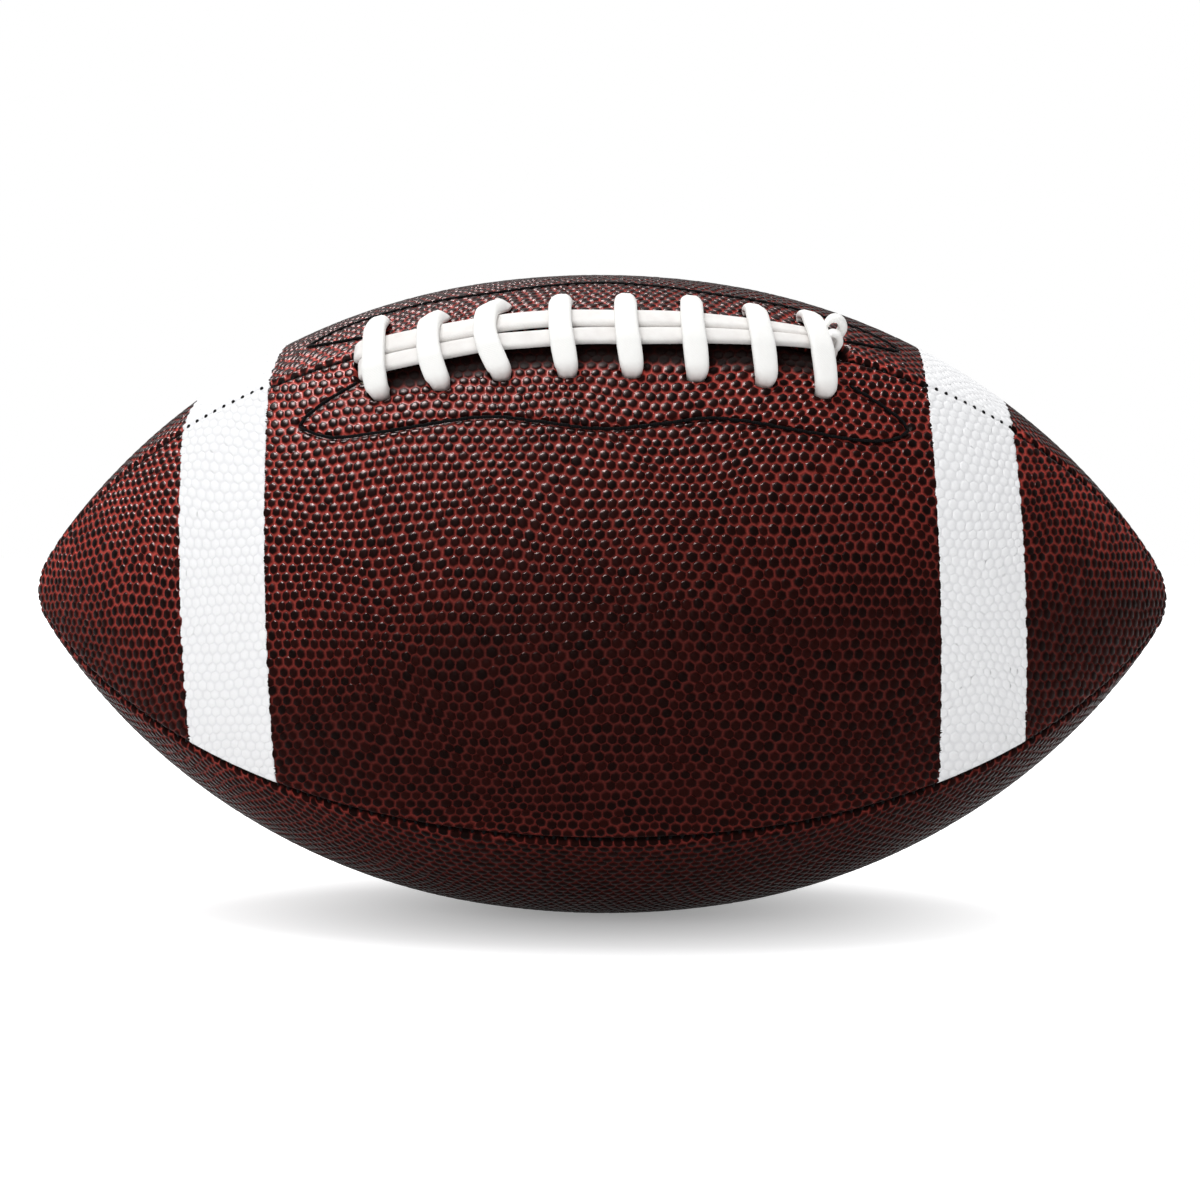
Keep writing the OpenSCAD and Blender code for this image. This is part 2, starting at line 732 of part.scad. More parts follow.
patch_top_depth = bladder_depth + bladder_t + layer_gap;
body_top = flat_r - patch_top_depth - valve_patch_t - layer_gap;
module valve_housing() {
    color(valve_rubber) rolled() to_belly_rear()
        difference() {
            union() {
                translate([0, 0, body_top - valve_body_length])
                    cylinder(h = valve_body_length, r = valve_body_r, $fn = round_facets);
                translate([0, 0, body_top - valve_body_length / 2])
                    cylinder(h = valve_stem_top - body_top + valve_body_length / 2,
                        r = valve_stem_r, $fn = round_facets);
            }
            translate([0, 0, valve_stem_top - valve_core_length - layer_gap])
                cylinder(h = valve_core_length + layer_gap + overrun,
                    r = valve_core_r + layer_gap, $fn = round_facets);
            translate([0, 0, body_top - valve_body_length - overrun])
                cylinder(h = valve_body_length + overrun, r = needle_channel_r, $fn = round_facets);
        }
}

module valve_core() {
    color(valve_rubber) rolled() to_belly_rear()
        translate([0, 0, valve_stem_top - valve_core_length])
            difference() {
                cylinder(h = valve_core_length, r = valve_core_r, $fn = round_facets);
                translate([0, 0, -overrun])
                    cylinder(h = valve_core_length + 2 * overrun, r = needle_bore_r,
                        $fn = round_facets);
            }
}

module valve_patch() {
    color(valve_rubber) rolled() to_belly_rear()
        intersection() {
            difference() {
                turned(patch_top_depth, 0);
                turned(patch_top_depth + valve_patch_t, 0);
            }
            translate([0, 0, flat_r / 2])
                difference() {
                    cylinder(h = flat_r, r = valve_patch_r, $fn = round_facets);
                    translate([0, 0, -overrun])
                        cylinder(h = flat_r + 2 * overrun, r = valve_stem_r + layer_gap,
                            $fn = round_facets);
                }
        }
}

cover_panel_lace_front();
cover_panel_lace_rear();
cover_panel_belly_front();
cover_panel_belly_rear();
lining_panel_lace_front();
lining_panel_lace_rear();
lining_panel_belly_front();
lining_panel_belly_rear();
stripe_left_front();
stripe_left_rear();
stripe_right_front();
stripe_right_rear();
thread_lace_seam_left();
thread_lace_seam_right();
thread_front_seam();
thread_rear_seam();
thread_belly_seam();
lace();
lace_patch_front();
lace_patch_rear();
patch_stitching_front();
patch_stitching_rear();
lace_tongue();
bladder();
valve_housing();
valve_core();
valve_patch();
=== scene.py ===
"""The looks of a laced leather football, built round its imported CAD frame.

Lengths are in millimetres until a mesh is made, and MM turns them into metres.
Each cover panel is worked out on a flat plan: u runs along the panel's middle from
tip to tip, and v runs across it. panel_point lays that plan on the ball.
"""

import math

import bpy
import numpy as np
from mathutils import Matrix, Vector


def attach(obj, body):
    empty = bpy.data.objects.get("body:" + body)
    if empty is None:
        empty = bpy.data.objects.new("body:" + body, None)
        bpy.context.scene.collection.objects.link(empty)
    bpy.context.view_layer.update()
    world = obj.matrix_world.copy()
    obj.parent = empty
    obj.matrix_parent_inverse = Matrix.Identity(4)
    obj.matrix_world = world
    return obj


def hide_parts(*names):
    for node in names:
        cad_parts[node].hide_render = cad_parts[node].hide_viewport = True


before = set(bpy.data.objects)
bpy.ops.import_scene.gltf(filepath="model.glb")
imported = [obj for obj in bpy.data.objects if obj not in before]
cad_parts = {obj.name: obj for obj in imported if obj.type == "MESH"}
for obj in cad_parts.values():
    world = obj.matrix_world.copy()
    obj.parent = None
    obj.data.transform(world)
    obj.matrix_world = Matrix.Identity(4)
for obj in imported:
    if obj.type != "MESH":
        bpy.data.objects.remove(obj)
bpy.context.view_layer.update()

MM = 0.001
SEED = 7
THREAD_SEED = 27

# Ball
HALF_LENGTH = 142.0
FLAT_R = 79.8
TIP_R = 12.0
TIP_FLAT_ANGLE = math.radians(8.0)
MIDDLE_R = 200.0
MIDDLE_HALF = 31.0
AXIS_OFFSET = 21.0
ROLL = 40.0
PANEL_TURNS = {
    "lace_front": 45.0 + ROLL,
    "lace_rear": -45.0 + ROLL,
    "belly_front": 135.0 + ROLL,
    "belly_rear": -135.0 + ROLL,
}

# Pebbles
PITCH = 2.6
ROW = PITCH * math.sqrt(3.0) / 2.0
JITTER = 0.46
PEBBLE_H = 0.56
PEBBLE_FOOT_DEPTH = 0.46
SHOULDER_SHARE = 0.8
CROWN_SHARE = 0.5
SHOULDER_HEIGHT_SHARE = 0.46
CROWN_HEIGHT_SHARE = 0.92
DOME_SHARE = 0.92
MOST_HEIGHT_SHARE = 1.2
ROUNDING = 0.5
ROUND_REACH_SHARE = 0.97
# Points on a pebble's edge and on its shoulder, and on its crown
EDGE_POINTS = 12
CROWN_POINTS = 6
# How far pebbles vary in size and height
SIZE_RANGE = (0.93, 1.06)
LIFT_RANGE = (0.82, 1.12)
# Wavelength and size of the waves that bend the rows, and how much of each runs across it
WARPS = ((83.0, 1.6), (47.0, 0.9), (29.0, 0.5))
WARP_CROSS_SHARES = (0.6, 0.7)
PLAN_MARGIN = 3 * PITCH
PLAN_PLACES = 3
LEAST_AREA = 1e-4
TIP_GAP = 0.05
NEAR_ZERO = 0.01
BLOCK = 4000

# Seams
SEAM_CLEAR = 0.25
SEAM_ROLL_R = 1.7
WALL_DEPTH = 3.0
STITCH_PITCH = 2.7
THREAD_R = 0.45
TIP_PLAIN = 9.0
STITCH_DEPTH = 1.45
STITCH_HALF = 1.15
COAT_STITCH_SHARE = 0.35
COAT_CLEAR_SHARE = 0.2
STITCH_LEAN = 0.15
STITCH_SAG = 0.15
THREAD_SIDES = 8
THREAD_RINGS = 7
THREAD_END_SHARE = 0.1
THREAD_ROUNDING = 6
# Least share of a pebble's height beside a seam, and the distances between which it grows full
SEAM_KEEP = (0.45, 0.3, 1.6)
# Distances from a seam between which the painted shade in its groove fades
SEAM_SHADE = (0.45, 1.1)

# Stripes
STRIPE_INNER_X = 77.9
STRIPE_OUTER_X = 99.4
# How far a stripe leans along the ball from its panel's middle to the seam
STRIPE_LEAN = 1.6
STRIPE_SLOPE = 0.4
FILM_T = 0.09
# How much of the valleys the coating fills
VALLEY_FILL_SHARE = 0.58
COAT_FILL_SHARE = 0.12
DOT_R = 0.58
# How far the stripe's edges follow whole pebbles, at its inner and outer edge
INNER_SCALLOP_SHARE = 0.15
OUTER_SCALLOP_SHARE = 0.25

# Lacing
LACING_LENGTH = 102.0
HOLE_OFFSET = 15.0
# Half sizes of a hole's dip, along and across the lacing
HOLE_HALF = (2.5, 1.3)
HOLE_DEPTH = 3.4
# Shares of a hole's half size between which its wall rises, and the pebbles grow full
HOLE_WALL = (0.55, 1.15)
HOLE_KEEP = (0.0, 0.9, 1.4)
# Place across and half width of a strand's way in, by end (-1 left) and by panel (-1 front)
WINDOW_PLACES = {(-1, 1): (1.5, 1.8), (-1, -1): (5.0, 3.9), (1, 1): (4.0, 3.4),
                 (1, -1): (0.6, 0.9)}
WINDOW_DIP_HALF = 1.9
# Offset of the front (-1) and rear (1) holes, bar by bar
HOLE_SHARES = {-1: (0.91, 0.95, 0.91, 0.93, 0.93, 0.92, 0.86, 0.83),
               1: (0.95, 0.62, 0.76, 0.8, 0.83, 0.89, 0.84, 1.0)}
# Turn of each bar where it reaches its rear hole, in degrees
REAR_TURNS = (4.0, 34.0, 38.0, 6.0, 4.0, 4.0, 6.0, 10.0)
# How far each bar's rear hole lies to the left of its place
REAR_SHIFTS = (0.0, 1.5, 0.9, 0.0, 0.0, 0.0, 0.4, 0.3)
# How far the strands drift toward the front of the ball, bar by bar
DRIFTS = (3.4, 3.2, 2.2, 1.8, 1.8, 0.6, -0.8, -2.7)
BAR_PLACE_SHARES = (-0.515, -0.371, -0.235, -0.09, 0.056, 0.204, 0.354, 0.485)
BAR_LEAN_SHARES = (0.006, 0.0, 0.002, 0.007, 0.007, 0.005, 0.011, 0.017)
BAR_BOW_SHARES = (0.0, 0.015, 0.027, 0.009, 0.008, 0.008, 0.006, 0.006)
# Height of the curled right edge near the rear end of each bar
BAR_CURLS = (-0.5, -1.5, -1.7, -0.8, -0.9, -0.4, -0.8, -1.0)
LACE_W = 6.2
LACE_T = 2.0
LACE_HOLE_W = 4.2
STRAND_HEIGHT = 1.4
STRAND_OFFSET = 3.5
BAR_GAP = 0.4
INNER_DEPTH = 5.0
WINDOW_X = 56.4
WINDOW_LENGTH = 4.0
SLIT_HALF = 1.2
# Places past the window between which the slit in the lace seam closes, and its thread starts
SLIT_END = (-2.0, 3.0)
THREAD_START = 5.0
CREST_ROUND = 2.0
CREST_STEP = 0.5
# Painted shadow of the strands on the leather in front of them: distances from the seam and past
# the lacing's ends between which it fades, and how far it flattens the pebbles
BAND_SHADE = (8.2, 12.2)
BAND_END = (-2.0, 3.0)
BAND_FLAT_SHARE = 0.3

# Stitched line round the lacing
LINE_HALF_LENGTH = 71.0
LINE_W = 28.0
LINE_SHARES = ((-0.81, 0.31), (-0.91, 0.4), (-0.98, 0.49), (-1.0, 0.54), (-0.98, 0.6),
               (-0.92, 0.71), (-0.83, 0.79), (-0.62, 0.84), (-0.37, 0.85), (-0.2, 0.93),
               (0.0, 1.0), (0.2, 0.93), (0.37, 0.85), (0.62, 0.84), (0.83, 0.79),
               (0.93, 0.7), (0.985, 0.6), (1.0, 0.53), (0.98, 0.48), (0.9, 0.39), (0.81, 0.31))
LINE_STITCH = 2.6
LINE_THREAD_R = 0.4
LINE_LIFT = -0.2
# How far each stitch reaches past its ends, so that the line is unbroken
LINE_OVERLAP_SHARE = 0.14
LINE_GROOVE_DEPTH = 0.55
LINE_GROOVE_HALF = 0.62
LINE_REACH = 2.0
LINE_KEEP = (0.2, 0.35, 1.1)
LINE_WOBBLE = 0.12
LINE_SAG = 0.12
LINE_UP_SHARES = np.array([0.35, 1.0, 1.0])
LINE_STEPS = 12

# Hole over the valve, at the middle of the rear belly panel
VALVE_PANEL = "belly_rear"
VALVE_HOLE_R = 3.3
VALVE_RIM = 1.3
VALVE_ROLL_SHARE = 0.6
VALVE_KEEP = (0.1, 0.2, VALVE_RIM)
HOLE_UV_SHARE = 0.35

# How far the finer mesh reaches round each kind of work, and the longest edge left there
SEAM_FINE = (2.0, 0.55)
STRIPE_FINE = (1.2, 0.35)
LINE_FINE = (1.2, 0.5)
HOLE_FINE = (1.5, 0.5)
VALVE_FINE = (VALVE_RIM, 0.35)
REFINE_PASSES = 2

# Painted light in the dye's brightness: on a lace panel at its middle and how much more at the
# lacing, on a belly panel, and what the left end and the painted highlights by the seams add
LACE_TONES = (0.14, 0.6)
BELLY_TONE = 0.08
LACE_LEFT_TONE = 0.5
BELLY_LEFT_TONE = 0.25
LEFT_REACH = 130.0
SEAM_PAINTED_HIGHLIGHT = 0.2
SEAM_HIGHLIGHT_REACH = 3.5
LEAST_TONE = 0.05

# Outline arcs, as in the CAD part
MIDDLE_ANGLE = math.asin(MIDDLE_HALF / MIDDLE_R)
MIDDLE_CY = FLAT_R - MIDDLE_R
MIDDLE_NORMAL = np.array([math.sin(MIDDLE_ANGLE), math.cos(MIDDLE_ANGLE)])
MIDDLE_END = MIDDLE_R * MIDDLE_NORMAL + (0.0, MIDDLE_CY)
TIP_CX = HALF_LENGTH - TIP_R * math.cos(TIP_FLAT_ANGLE)
TO_MIDDLE_END = MIDDLE_END - np.array([TIP_CX, 0.0])
SIDE_R = float((TO_MIDDLE_END @ TO_MIDDLE_END - TIP_R ** 2)
               / (2.0 * (TO_MIDDLE_END @ MIDDLE_NORMAL - TIP_R)))
SIDE_CX, SIDE_CY = MIDDLE_END - SIDE_R * MIDDLE_NORMAL
SIDE_ANGLE = math.atan2(TIP_CX - SIDE_CX, -SIDE_CY)
MIDDLE_ARC = MIDDLE_R * MIDDLE_ANGLE
SIDE_ARC = SIDE_R * (SIDE_ANGLE - MIDDLE_ANGLE)
TIP_ARC = TIP_R * (math.pi / 2.0 - SIDE_ANGLE)
HALF_ARC = MIDDLE_ARC + SIDE_ARC + TIP_ARC
ARC_POINTS = 4001
# Cosine of the angle between a panel's middle and its seam
DIAGONAL = math.sqrt(0.5)
CORNER_OFFSET = AXIS_OFFSET * DIAGONAL


def meridian(s):
    """Place along the ball, outline radius and normal's angle, at arc length s."""
    s = np.asarray(s, dtype=float)
    a = np.abs(s)

    def pick(middle, side, tip):
        return np.where(a <= MIDDLE_ARC, middle, np.where(a <= MIDDLE_ARC + SIDE_ARC, side, tip))

    t = pick(a / MIDDLE_R, MIDDLE_ANGLE + (a - MIDDLE_ARC) / SIDE_R,
             SIDE_ANGLE + (a - MIDDLE_ARC - SIDE_ARC) / TIP_R)
    cx, cy = pick(0.0, SIDE_CX, TIP_CX), pick(MIDDLE_CY, SIDE_CY, 0.0)
    r = pick(MIDDLE_R, SIDE_R, TIP_R)
    sign = np.where(s < 0.0, -1.0, 1.0)
    return sign * (cx + r * np.sin(t)), cy + r * np.cos(t), sign * t


S_TABLE = np.linspace(-HALF_ARC, HALF_ARC, ARC_POINTS)
X_TABLE = meridian(S_TABLE)[0]


def arc_at(x):
    return np.interp(x, X_TABLE, S_TABLE)


def outline_r(x):
    return np.maximum(meridian(arc_at(x))[1], 0.0)


def corner_r(r):
    return np.sqrt(np.maximum((r + AXIS_OFFSET) ** 2 - CORNER_OFFSET ** 2, 0.0)) - CORNER_OFFSET


def half_width(u):
    """Distance across the panel from its middle to the seam."""
    r = np.maximum(meridian(u)[1], 0.0)
    reach = corner_r(r) * DIAGONAL
    return (r + AXIS_OFFSET) * np.arctan2(reach, reach + AXIS_OFFSET)


def turned(points, degrees):
    """Points turned about X."""
    a = math.radians(degrees)
    y, z = points[..., 1], points[..., 2]
    return np.stack([points[..., 0], y * math.cos(a) - z * math.sin(a),
                     y * math.sin(a) + z * math.cos(a)], axis=-1)


def side_of(panel):
    """One on the rear panels, whose plan is mirrored, and minus one on the front panels."""
    return 1 if panel.endswith("rear") else -1


def panel_point(panel, u, v, h):
    """Point of the ball over a panel's plan, h above the leather's mean surface."""
    x, r, t = meridian(u)
    rho = np.maximum(r, 0.0) + AXIS_OFFSET
    phi = -side_of(panel) * v / rho
    out = rho + h * np.cos(t)
    points = np.stack([x + h * np.sin(t), out * np.sin(phi), out * np.cos(phi) - AXIS_OFFSET],
                      axis=-1)
    return turned(points, PANEL_TURNS[panel])


def leather_z(x, y):
    """Height of the leather over the lace seam's frame."""
    rho = outline_r(x) + AXIS_OFFSET
    return np.sqrt(rho ** 2 - (np.abs(y) + CORNER_OFFSET) ** 2) - CORNER_OFFSET


def lace_to_plan(x, y):
    """Plan place of a point on a lace panel, from its place along and across the lace seam.
    y is the distance from the seam, and v comes out positive toward the seam."""
    z = leather_z(x, y)
    across = (z - np.abs(y)) * DIAGONAL
    up = (z + np.abs(y)) * DIAGONAL
    rho = outline_r(x) + AXIS_OFFSET
    return arc_at(x), rho * np.arctan2(across, up + AXIS_OFFSET)


def smooth_step(value, low, high):
    t = np.clip((value - low) / (high - low), 0.0, 1.0)
    return t * t * (3.0 - 2.0 * t)


def catmull(points, steps):
    """A smooth curve through the points, with this many steps between each two."""
    p = np.asarray(points, dtype=float)
    padded = np.vstack([p[:1], p, p[-1:]])
    out = []
    for i in range(len(p) - 1):
        a, b, c, d = padded[i:i + 4]
        for k in range(steps):
            w = k / steps
            out.append(((2 * b) + (c - a) * w + (2 * a - 5 * b + 4 * c - d) * w * w
                        + (3 * b - a - 3 * c + d) * w ** 3) / 2)
    out.append(p[-1])
    return np.array(out)


def even_spaced(points, step):
    """Points every step along a polyline."""
    p = np.asarray(points)
    lengths = np.concatenate([[0.0], np.cumsum(np.linalg.norm(np.diff(p, axis=0), axis=1))])
    count = max(int(lengths[-1] / step), 2)
    at = np.linspace(0.0, lengths[-1], count + 1)
    return np.stack([np.interp(at, lengths, p[:, k]) for k in range(p.shape[1])], axis=-1)


def kept(distance, limits):
    """A share that grows to one: its least value, and the distances between which it grows."""
    least, low, high = limits
    return least + (1 - least) * smooth_step(distance, low, high)


def add_object(name, data):
    thing = bpy.data.objects.new(name, data)
    bpy.context.scene.collection.objects.link(thing)
    return thing


def make_piece(name, node, material, points, faces, values, uv=None):
    """A smooth piece from points in millimetres, an array of faces and values at the points."""
    mesh = bpy.data.meshes.new(name)
    mesh.vertices.add(len(points))
    mesh.vertices.foreach_set("co", (points * MM).astype(np.float32).ravel())
    mesh.loops.add(faces.size)
    mesh.loops.foreach_set("vertex_index", faces.astype(np.int32).ravel())
    mesh.polygons.add(len(faces))
    starts = np.arange(0, faces.size, faces.shape[1], dtype=np.int32)
    mesh.polygons.foreach_set("loop_start", starts)
    mesh.update(calc_edges=True)
    mesh.validate()
    for key, at_points in values.items():
        layer = mesh.attributes.new(key, "FLOAT", "POINT")
        layer.data.foreach_set("value", at_points.astype(np.float32))
    if uv is not None:
        index = np.empty(len(mesh.loops), dtype=np.int32)
        mesh.loops.foreach_get("vertex_index", index)
        layer = mesh.uv_layers.new(name="OFBake")
        layer.data.foreach_set("uv", uv.astype(np.float32)[index].ravel())
    mesh.polygons.foreach_set("use_smooth", np.ones(len(mesh.polygons), dtype=bool))
    mesh.materials.append(material)
    piece = add_object(name, mesh)
    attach(piece, "root")
    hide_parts(node)
    return piece


# Pebbled plan of a panel

def pebble_centres(rng):
    """Rows of pebble centres over a plan that covers the panel, warped and jittered."""
    columns = int(2 * (HALF_ARC + PLAN_MARGIN) / PITCH) + 2
    rows = int(2 * (half_width(0.0) + PLAN_MARGIN) / ROW) + 2
    j, i = np.meshgrid(np.arange(rows), np.arange(columns), indexing="ij")
    u = (i + 0.5 * (j % 2) - columns / 2) * PITCH
    v = (j - rows / 2) * ROW
    cross_u, cross_v = WARP_CROSS_SHARES
    for wavelength, size in WARPS:
        k = 2 * math.pi / wavelength
        a, b, c, d = rng.uniform(0, 2 * math.pi, 4)
        u, v = (u + size * np.sin(k * v + a) * np.cos(cross_u * k * u + b),
                v + size * np.sin(k * u + c) * np.cos(cross_v * k * v + d))
    turn = rng.uniform(0, 2 * math.pi, u.shape)
    reach = JITTER * np.sqrt(rng.uniform(0, 1, u.shape))
    return np.stack([u + reach * np.cos(turn), v + reach * np.sin(turn)], axis=-1)


def pebble_plan(rng):
    """The pebbles as a flat mesh: points with columns u, v, rim share, height share, tint and
    the pebble's own centre, and triangles. Rim is 0 in the valley and 1 at a pebble's middle."""
    centre = pebble_centres(rng)
    rows, columns = centre.shape[:2]
    j, i = np.meshgrid(np.arange(1, rows - 1), np.arange(2, columns - 2), indexing="ij")
    j, i = j.ravel(), i.ravel()

    def corner(jj, ii, step):
        beyond = np.clip(jj + step, 0, rows - 1)
        return (centre[jj, ii] + centre[jj, ii + 1] + centre[beyond, ii + (jj % 2)]) / 3

    right = i + (j % 2)
    corners = np.stack([corner(j, i, -1), corner(j, i, 1), corner(j + 1, right - 1, -1),
                        corner(j, i - 1, 1), corner(j, i - 1, -1), corner(j - 1, right - 1, 1)],
                       axis=1)
    middles = (corners + np.roll(corners, -1, axis=1)) / 2
    count = len(j)
    edge = np.empty((count, EDGE_POINTS, 2))
    edge[:, 0::2] = corners
    edge[:, 1::2] = middles
    c = centre[j, i][:, None, :]
    arms = edge - c
    reach = np.linalg.norm(arms, axis=2, keepdims=True)
    mean_reach = reach.mean(axis=1, keepdims=True)
    scale = rng.uniform(*SIZE_RANGE, (count, 1, 1))
    rounded = arms * (1 - ROUNDING) + arms / reach * mean_reach * ROUND_REACH_SHARE * ROUNDING
    shoulder = c + rounded * SHOULDER_SHARE * scale
    crown = (c + rounded * CROWN_SHARE * scale)[:, 0::2]
    tint = rng.uniform(0, 1, count)
    lift = rng.uniform(*LIFT_RANGE, count)
    top = 2 * EDGE_POINTS + CROWN_POINTS
    pts = np.concatenate([edge, shoulder, crown, c], axis=1).reshape(-1, 2)
    sizes = (EDGE_POINTS, EDGE_POINTS, CROWN_POINTS, 1)
    rim, height = (np.tile(np.repeat(levels, sizes), count) for levels in (
        (0.0, 1 - SHOULDER_SHARE, 1 - CROWN_SHARE, 1.0),
        (0.0, SHOULDER_HEIGHT_SHARE, CROWN_HEIGHT_SHARE, 1.0)))
    height = height * np.repeat(lift, top + 1)
    data = np.column_stack([pts, rim, height, np.repeat(tint, top + 1),
                            np.repeat(centre[j, i], top + 1, axis=0)])
    tris = []
    for k in range(EDGE_POINTS):
        n = (k + 1) % EDGE_POINTS
        tris += [(k, n, EDGE_POINTS + k), (n, EDGE_POINTS + n, EDGE_POINTS + k)]
    for k in range(CROWN_POINTS):
        a = EDGE_POINTS + 2 * k
        b, d = a + 1, EDGE_POINTS + (2 * k + 2) % EDGE_POINTS
        m, n = 2 * EDGE_POINTS + k, 2 * EDGE_POINTS + (k + 1) % CROWN_POINTS
        tris += [(a, b, m), (b, n, m), (b, d, n), (m, n, top)]
    faces = (np.array(tris)[None] + (top + 1) * np.arange(count)[:, None, None]).reshape(-1, 3)
    return data, faces


def plan_area(data, faces):
    """Twice each face's area on the plan, above zero where it runs anticlockwise."""
    p = data[faces][:, :, :2]
    return np.cross(p[:, 1] - p[:, 0], p[:, 2] - p[:, 0])


def weld(data, faces):
    """Joins points that lie at the same plan place, and drops faces that vanish."""
    key = np.round(data[:, :2], PLAN_PLACES)
    _, first, back = np.unique(key, axis=0, return_index=True, return_inverse=True)
    data, faces = data[first], back.ravel()[faces]
    return data, faces[np.abs(plan_area(data, faces)) > 2 * LEAST_AREA]


def edge_table(faces):
    """The three edges of each face. For the different ones among them, the first place and how
    often each comes, and for each edge its number among those."""
    pairs = faces[:, [[0, 1], [1, 2], [2, 0]]].reshape(-1, 2)
    low, high = np.sort(pairs, axis=1).T.astype(np.int64)
    _, first, back, count = np.unique(low * (faces.max() + 1) + high, return_index=True,
                                      return_inverse=True, return_counts=True)
    return pairs, first, count, back.ravel()


def refine(data, faces, wanted):
    """Halves each edge that wanted(middle points, lengths) marks, and splits the faces to suit."""
    pairs, first, _, back = edge_table(faces)
    a, b = data[pairs[first].T]
    middle = (a + b) / 2
    mark = wanted(middle, np.linalg.norm((a - b)[:, :2], axis=1))
    number = np.full(len(first), -1)
    number[mark] = len(data) + np.arange(mark.sum())
    halves = number[back].reshape(-1, 3)
    split = (halves >= 0).sum(axis=1)
    # Columns: the corners a, b and c, and the points that halve ab, bc and ca
    out = [faces[split == 0]]
    for turn in range(3):
        p = np.hstack([np.roll(faces, -turn, axis=1), np.roll(halves, -turn, axis=1)])
        one = p[(split == 1) & (p[:, 3] >= 0)]
        two = p[(split == 2) & (p[:, 5] < 0)]
        out += [one[:, [0, 3, 2]], one[:, [3, 1, 2]]]
        out += [two[:, [0, 3, 2]], two[:, [3, 4, 2]], two[:, [3, 1, 4]]]
    three = np.hstack([faces, halves])[split == 3]
    out += [three[:, t] for t in ([0, 3, 5], [3, 1, 4], [5, 4, 2], [3, 4, 5])]
    return np.vstack([data, middle[mark]]), np.vstack(out)


def near_line(points, line, reach):
    """Distance from each plan point to a polyline where it is under reach, and reach elsewhere."""
    a, b = line[:-1], line[1:]
    step = b - a
    size = (step ** 2).sum(axis=1)
    low, high = line.min(axis=0) - reach, line.max(axis=0) + reach
    close = np.flatnonzero(np.all((points > low) & (points < high), axis=1))
    out = np.full(len(points), float(reach))
    # In blocks, to spare memory
    for start in range(0, len(close), BLOCK):
        block = close[start:start + BLOCK]
        p = points[block, None, :]
        w = np.clip(((p - a) * step).sum(axis=2) / size, 0.0, 1.0)
        d = np.linalg.norm(p - (a + w[..., None] * step), axis=2).min(axis=1)
        out[block] = np.minimum(d, reach)
    return out


STITCH_LINE = catmull([(a * LINE_HALF_LENGTH, b * LINE_W) for a, b in LINE_SHARES],
                      LINE_STEPS)
LINE_PLAN = np.stack(lace_to_plan(STITCH_LINE[:, 0], STITCH_LINE[:, 1]), axis=-1)


def bar_x(i, side):
    place = LACING_LENGTH * (BAR_PLACE_SHARES[i] - side * BAR_LEAN_SHARES[i])
    return place - (REAR_SHIFTS[i] if side > 0 else 0.0)


def hole_y(i, side):
    return HOLE_OFFSET * HOLE_SHARES[side][i]


BAR_MIDDLES = [bar_x(i, 0) for i in range(len(DRIFTS))]


def drift(x):
    return np.interp(x, BAR_MIDDLES, DRIFTS)


def hole_plan(side):
    """Plan places of the lace holes and windows of one lace panel, with their radii."""
    holes = [(bar_x(i, side), hole_y(i, side), *HOLE_HALF) for i in range(len(DRIFTS))]
    for end in (-1, 1):
        across, half = WINDOW_PLACES[(end, side)]
        holes.append((end * WINDOW_X, across, WINDOW_DIP_HALF, half))
    return [(*map(float, lace_to_plan(x, y)), *halves) for x, y, *halves in holes]


def seam_limit(u, lace_seam):
    """Largest distance from the middle that the leather reaches."""
    limit = half_width(u) - SEAM_CLEAR * (coat_share(u, COAT_CLEAR_SHARE) if lace_seam else 1.0)
    if lace_seam:
        x = np.abs(meridian(u)[0])
        closed = smooth_step(x - WINDOW_X, *SLIT_END)
        limit = limit - (SLIT_HALF - SEAM_CLEAR) * (1 - closed)
    return np.maximum(limit, 0.0)


def coated(u):
    """One in the white stripes at the lace seam, zero outside them, a short slope between."""
    x = np.abs(meridian(u)[0] + STRIPE_LEAN)
    inner, outer = (smooth_step(x, edge - STRIPE_SLOPE, edge + STRIPE_SLOPE)
                    for edge in (STRIPE_INNER_X, STRIPE_OUTER_X))
    return inner * (1 - outer)


def coat_share(u, share):
    """This share under the white stripes, and one outside them."""
    return 1 - (1 - share) * coated(u)


def roll_down(distance, radius):
    """Depth of an edge that is rolled in by this radius, at a distance from it."""
    roll = np.clip(1 - distance / radius, 0.0, 1.0)
    return radius * (1 - np.sqrt(1 - roll ** 2))


def sink(data, panel):
    """Depth below the pebbles' base at each plan point, and how much of the pebble is left."""
    u, v = data[:, 0], data[:, 1]
    laced = panel.startswith("lace")
    depth = np.zeros(len(data))
    keep = np.ones(len(data))
    for sign in (1, -1):
        d = np.maximum(seam_limit(u, laced and sign == 1) - sign * v, 0.0)
        fall = roll_down(d, SEAM_ROLL_R)
        if laced and sign == 1:
            fall = fall * coat_share(u, COAT_FILL_SHARE)
        depth = np.maximum(depth, fall)
        keep = keep * kept(d, SEAM_KEEP)
    if laced:
        d = near_line(data[:, :2], LINE_PLAN, LINE_REACH)
        depth = depth + LINE_GROOVE_DEPTH * np.exp(-(d / LINE_GROOVE_HALF) ** 2)
        keep = keep * kept(d, LINE_KEEP)
        for hu, hv, ru, rv in hole_plan(side_of(panel)):
            d = np.hypot((u - hu) / ru, (v - hv) / rv)
            depth = depth + HOLE_DEPTH * (1 - smooth_step(d, *HOLE_WALL))
            keep = keep * kept(d, HOLE_KEEP)
        keep = keep * (1 - BAND_FLAT_SHARE * shade(data, panel))
    if panel == VALVE_PANEL:
        d = np.clip(np.hypot(u, v) - VALVE_HOLE_R, 0.0, VALVE_RIM)
        depth = depth + VALVE_ROLL_SHARE * roll_down(d, VALVE_RIM)
        keep = keep * kept(d, VALVE_KEEP)
    return depth, keep


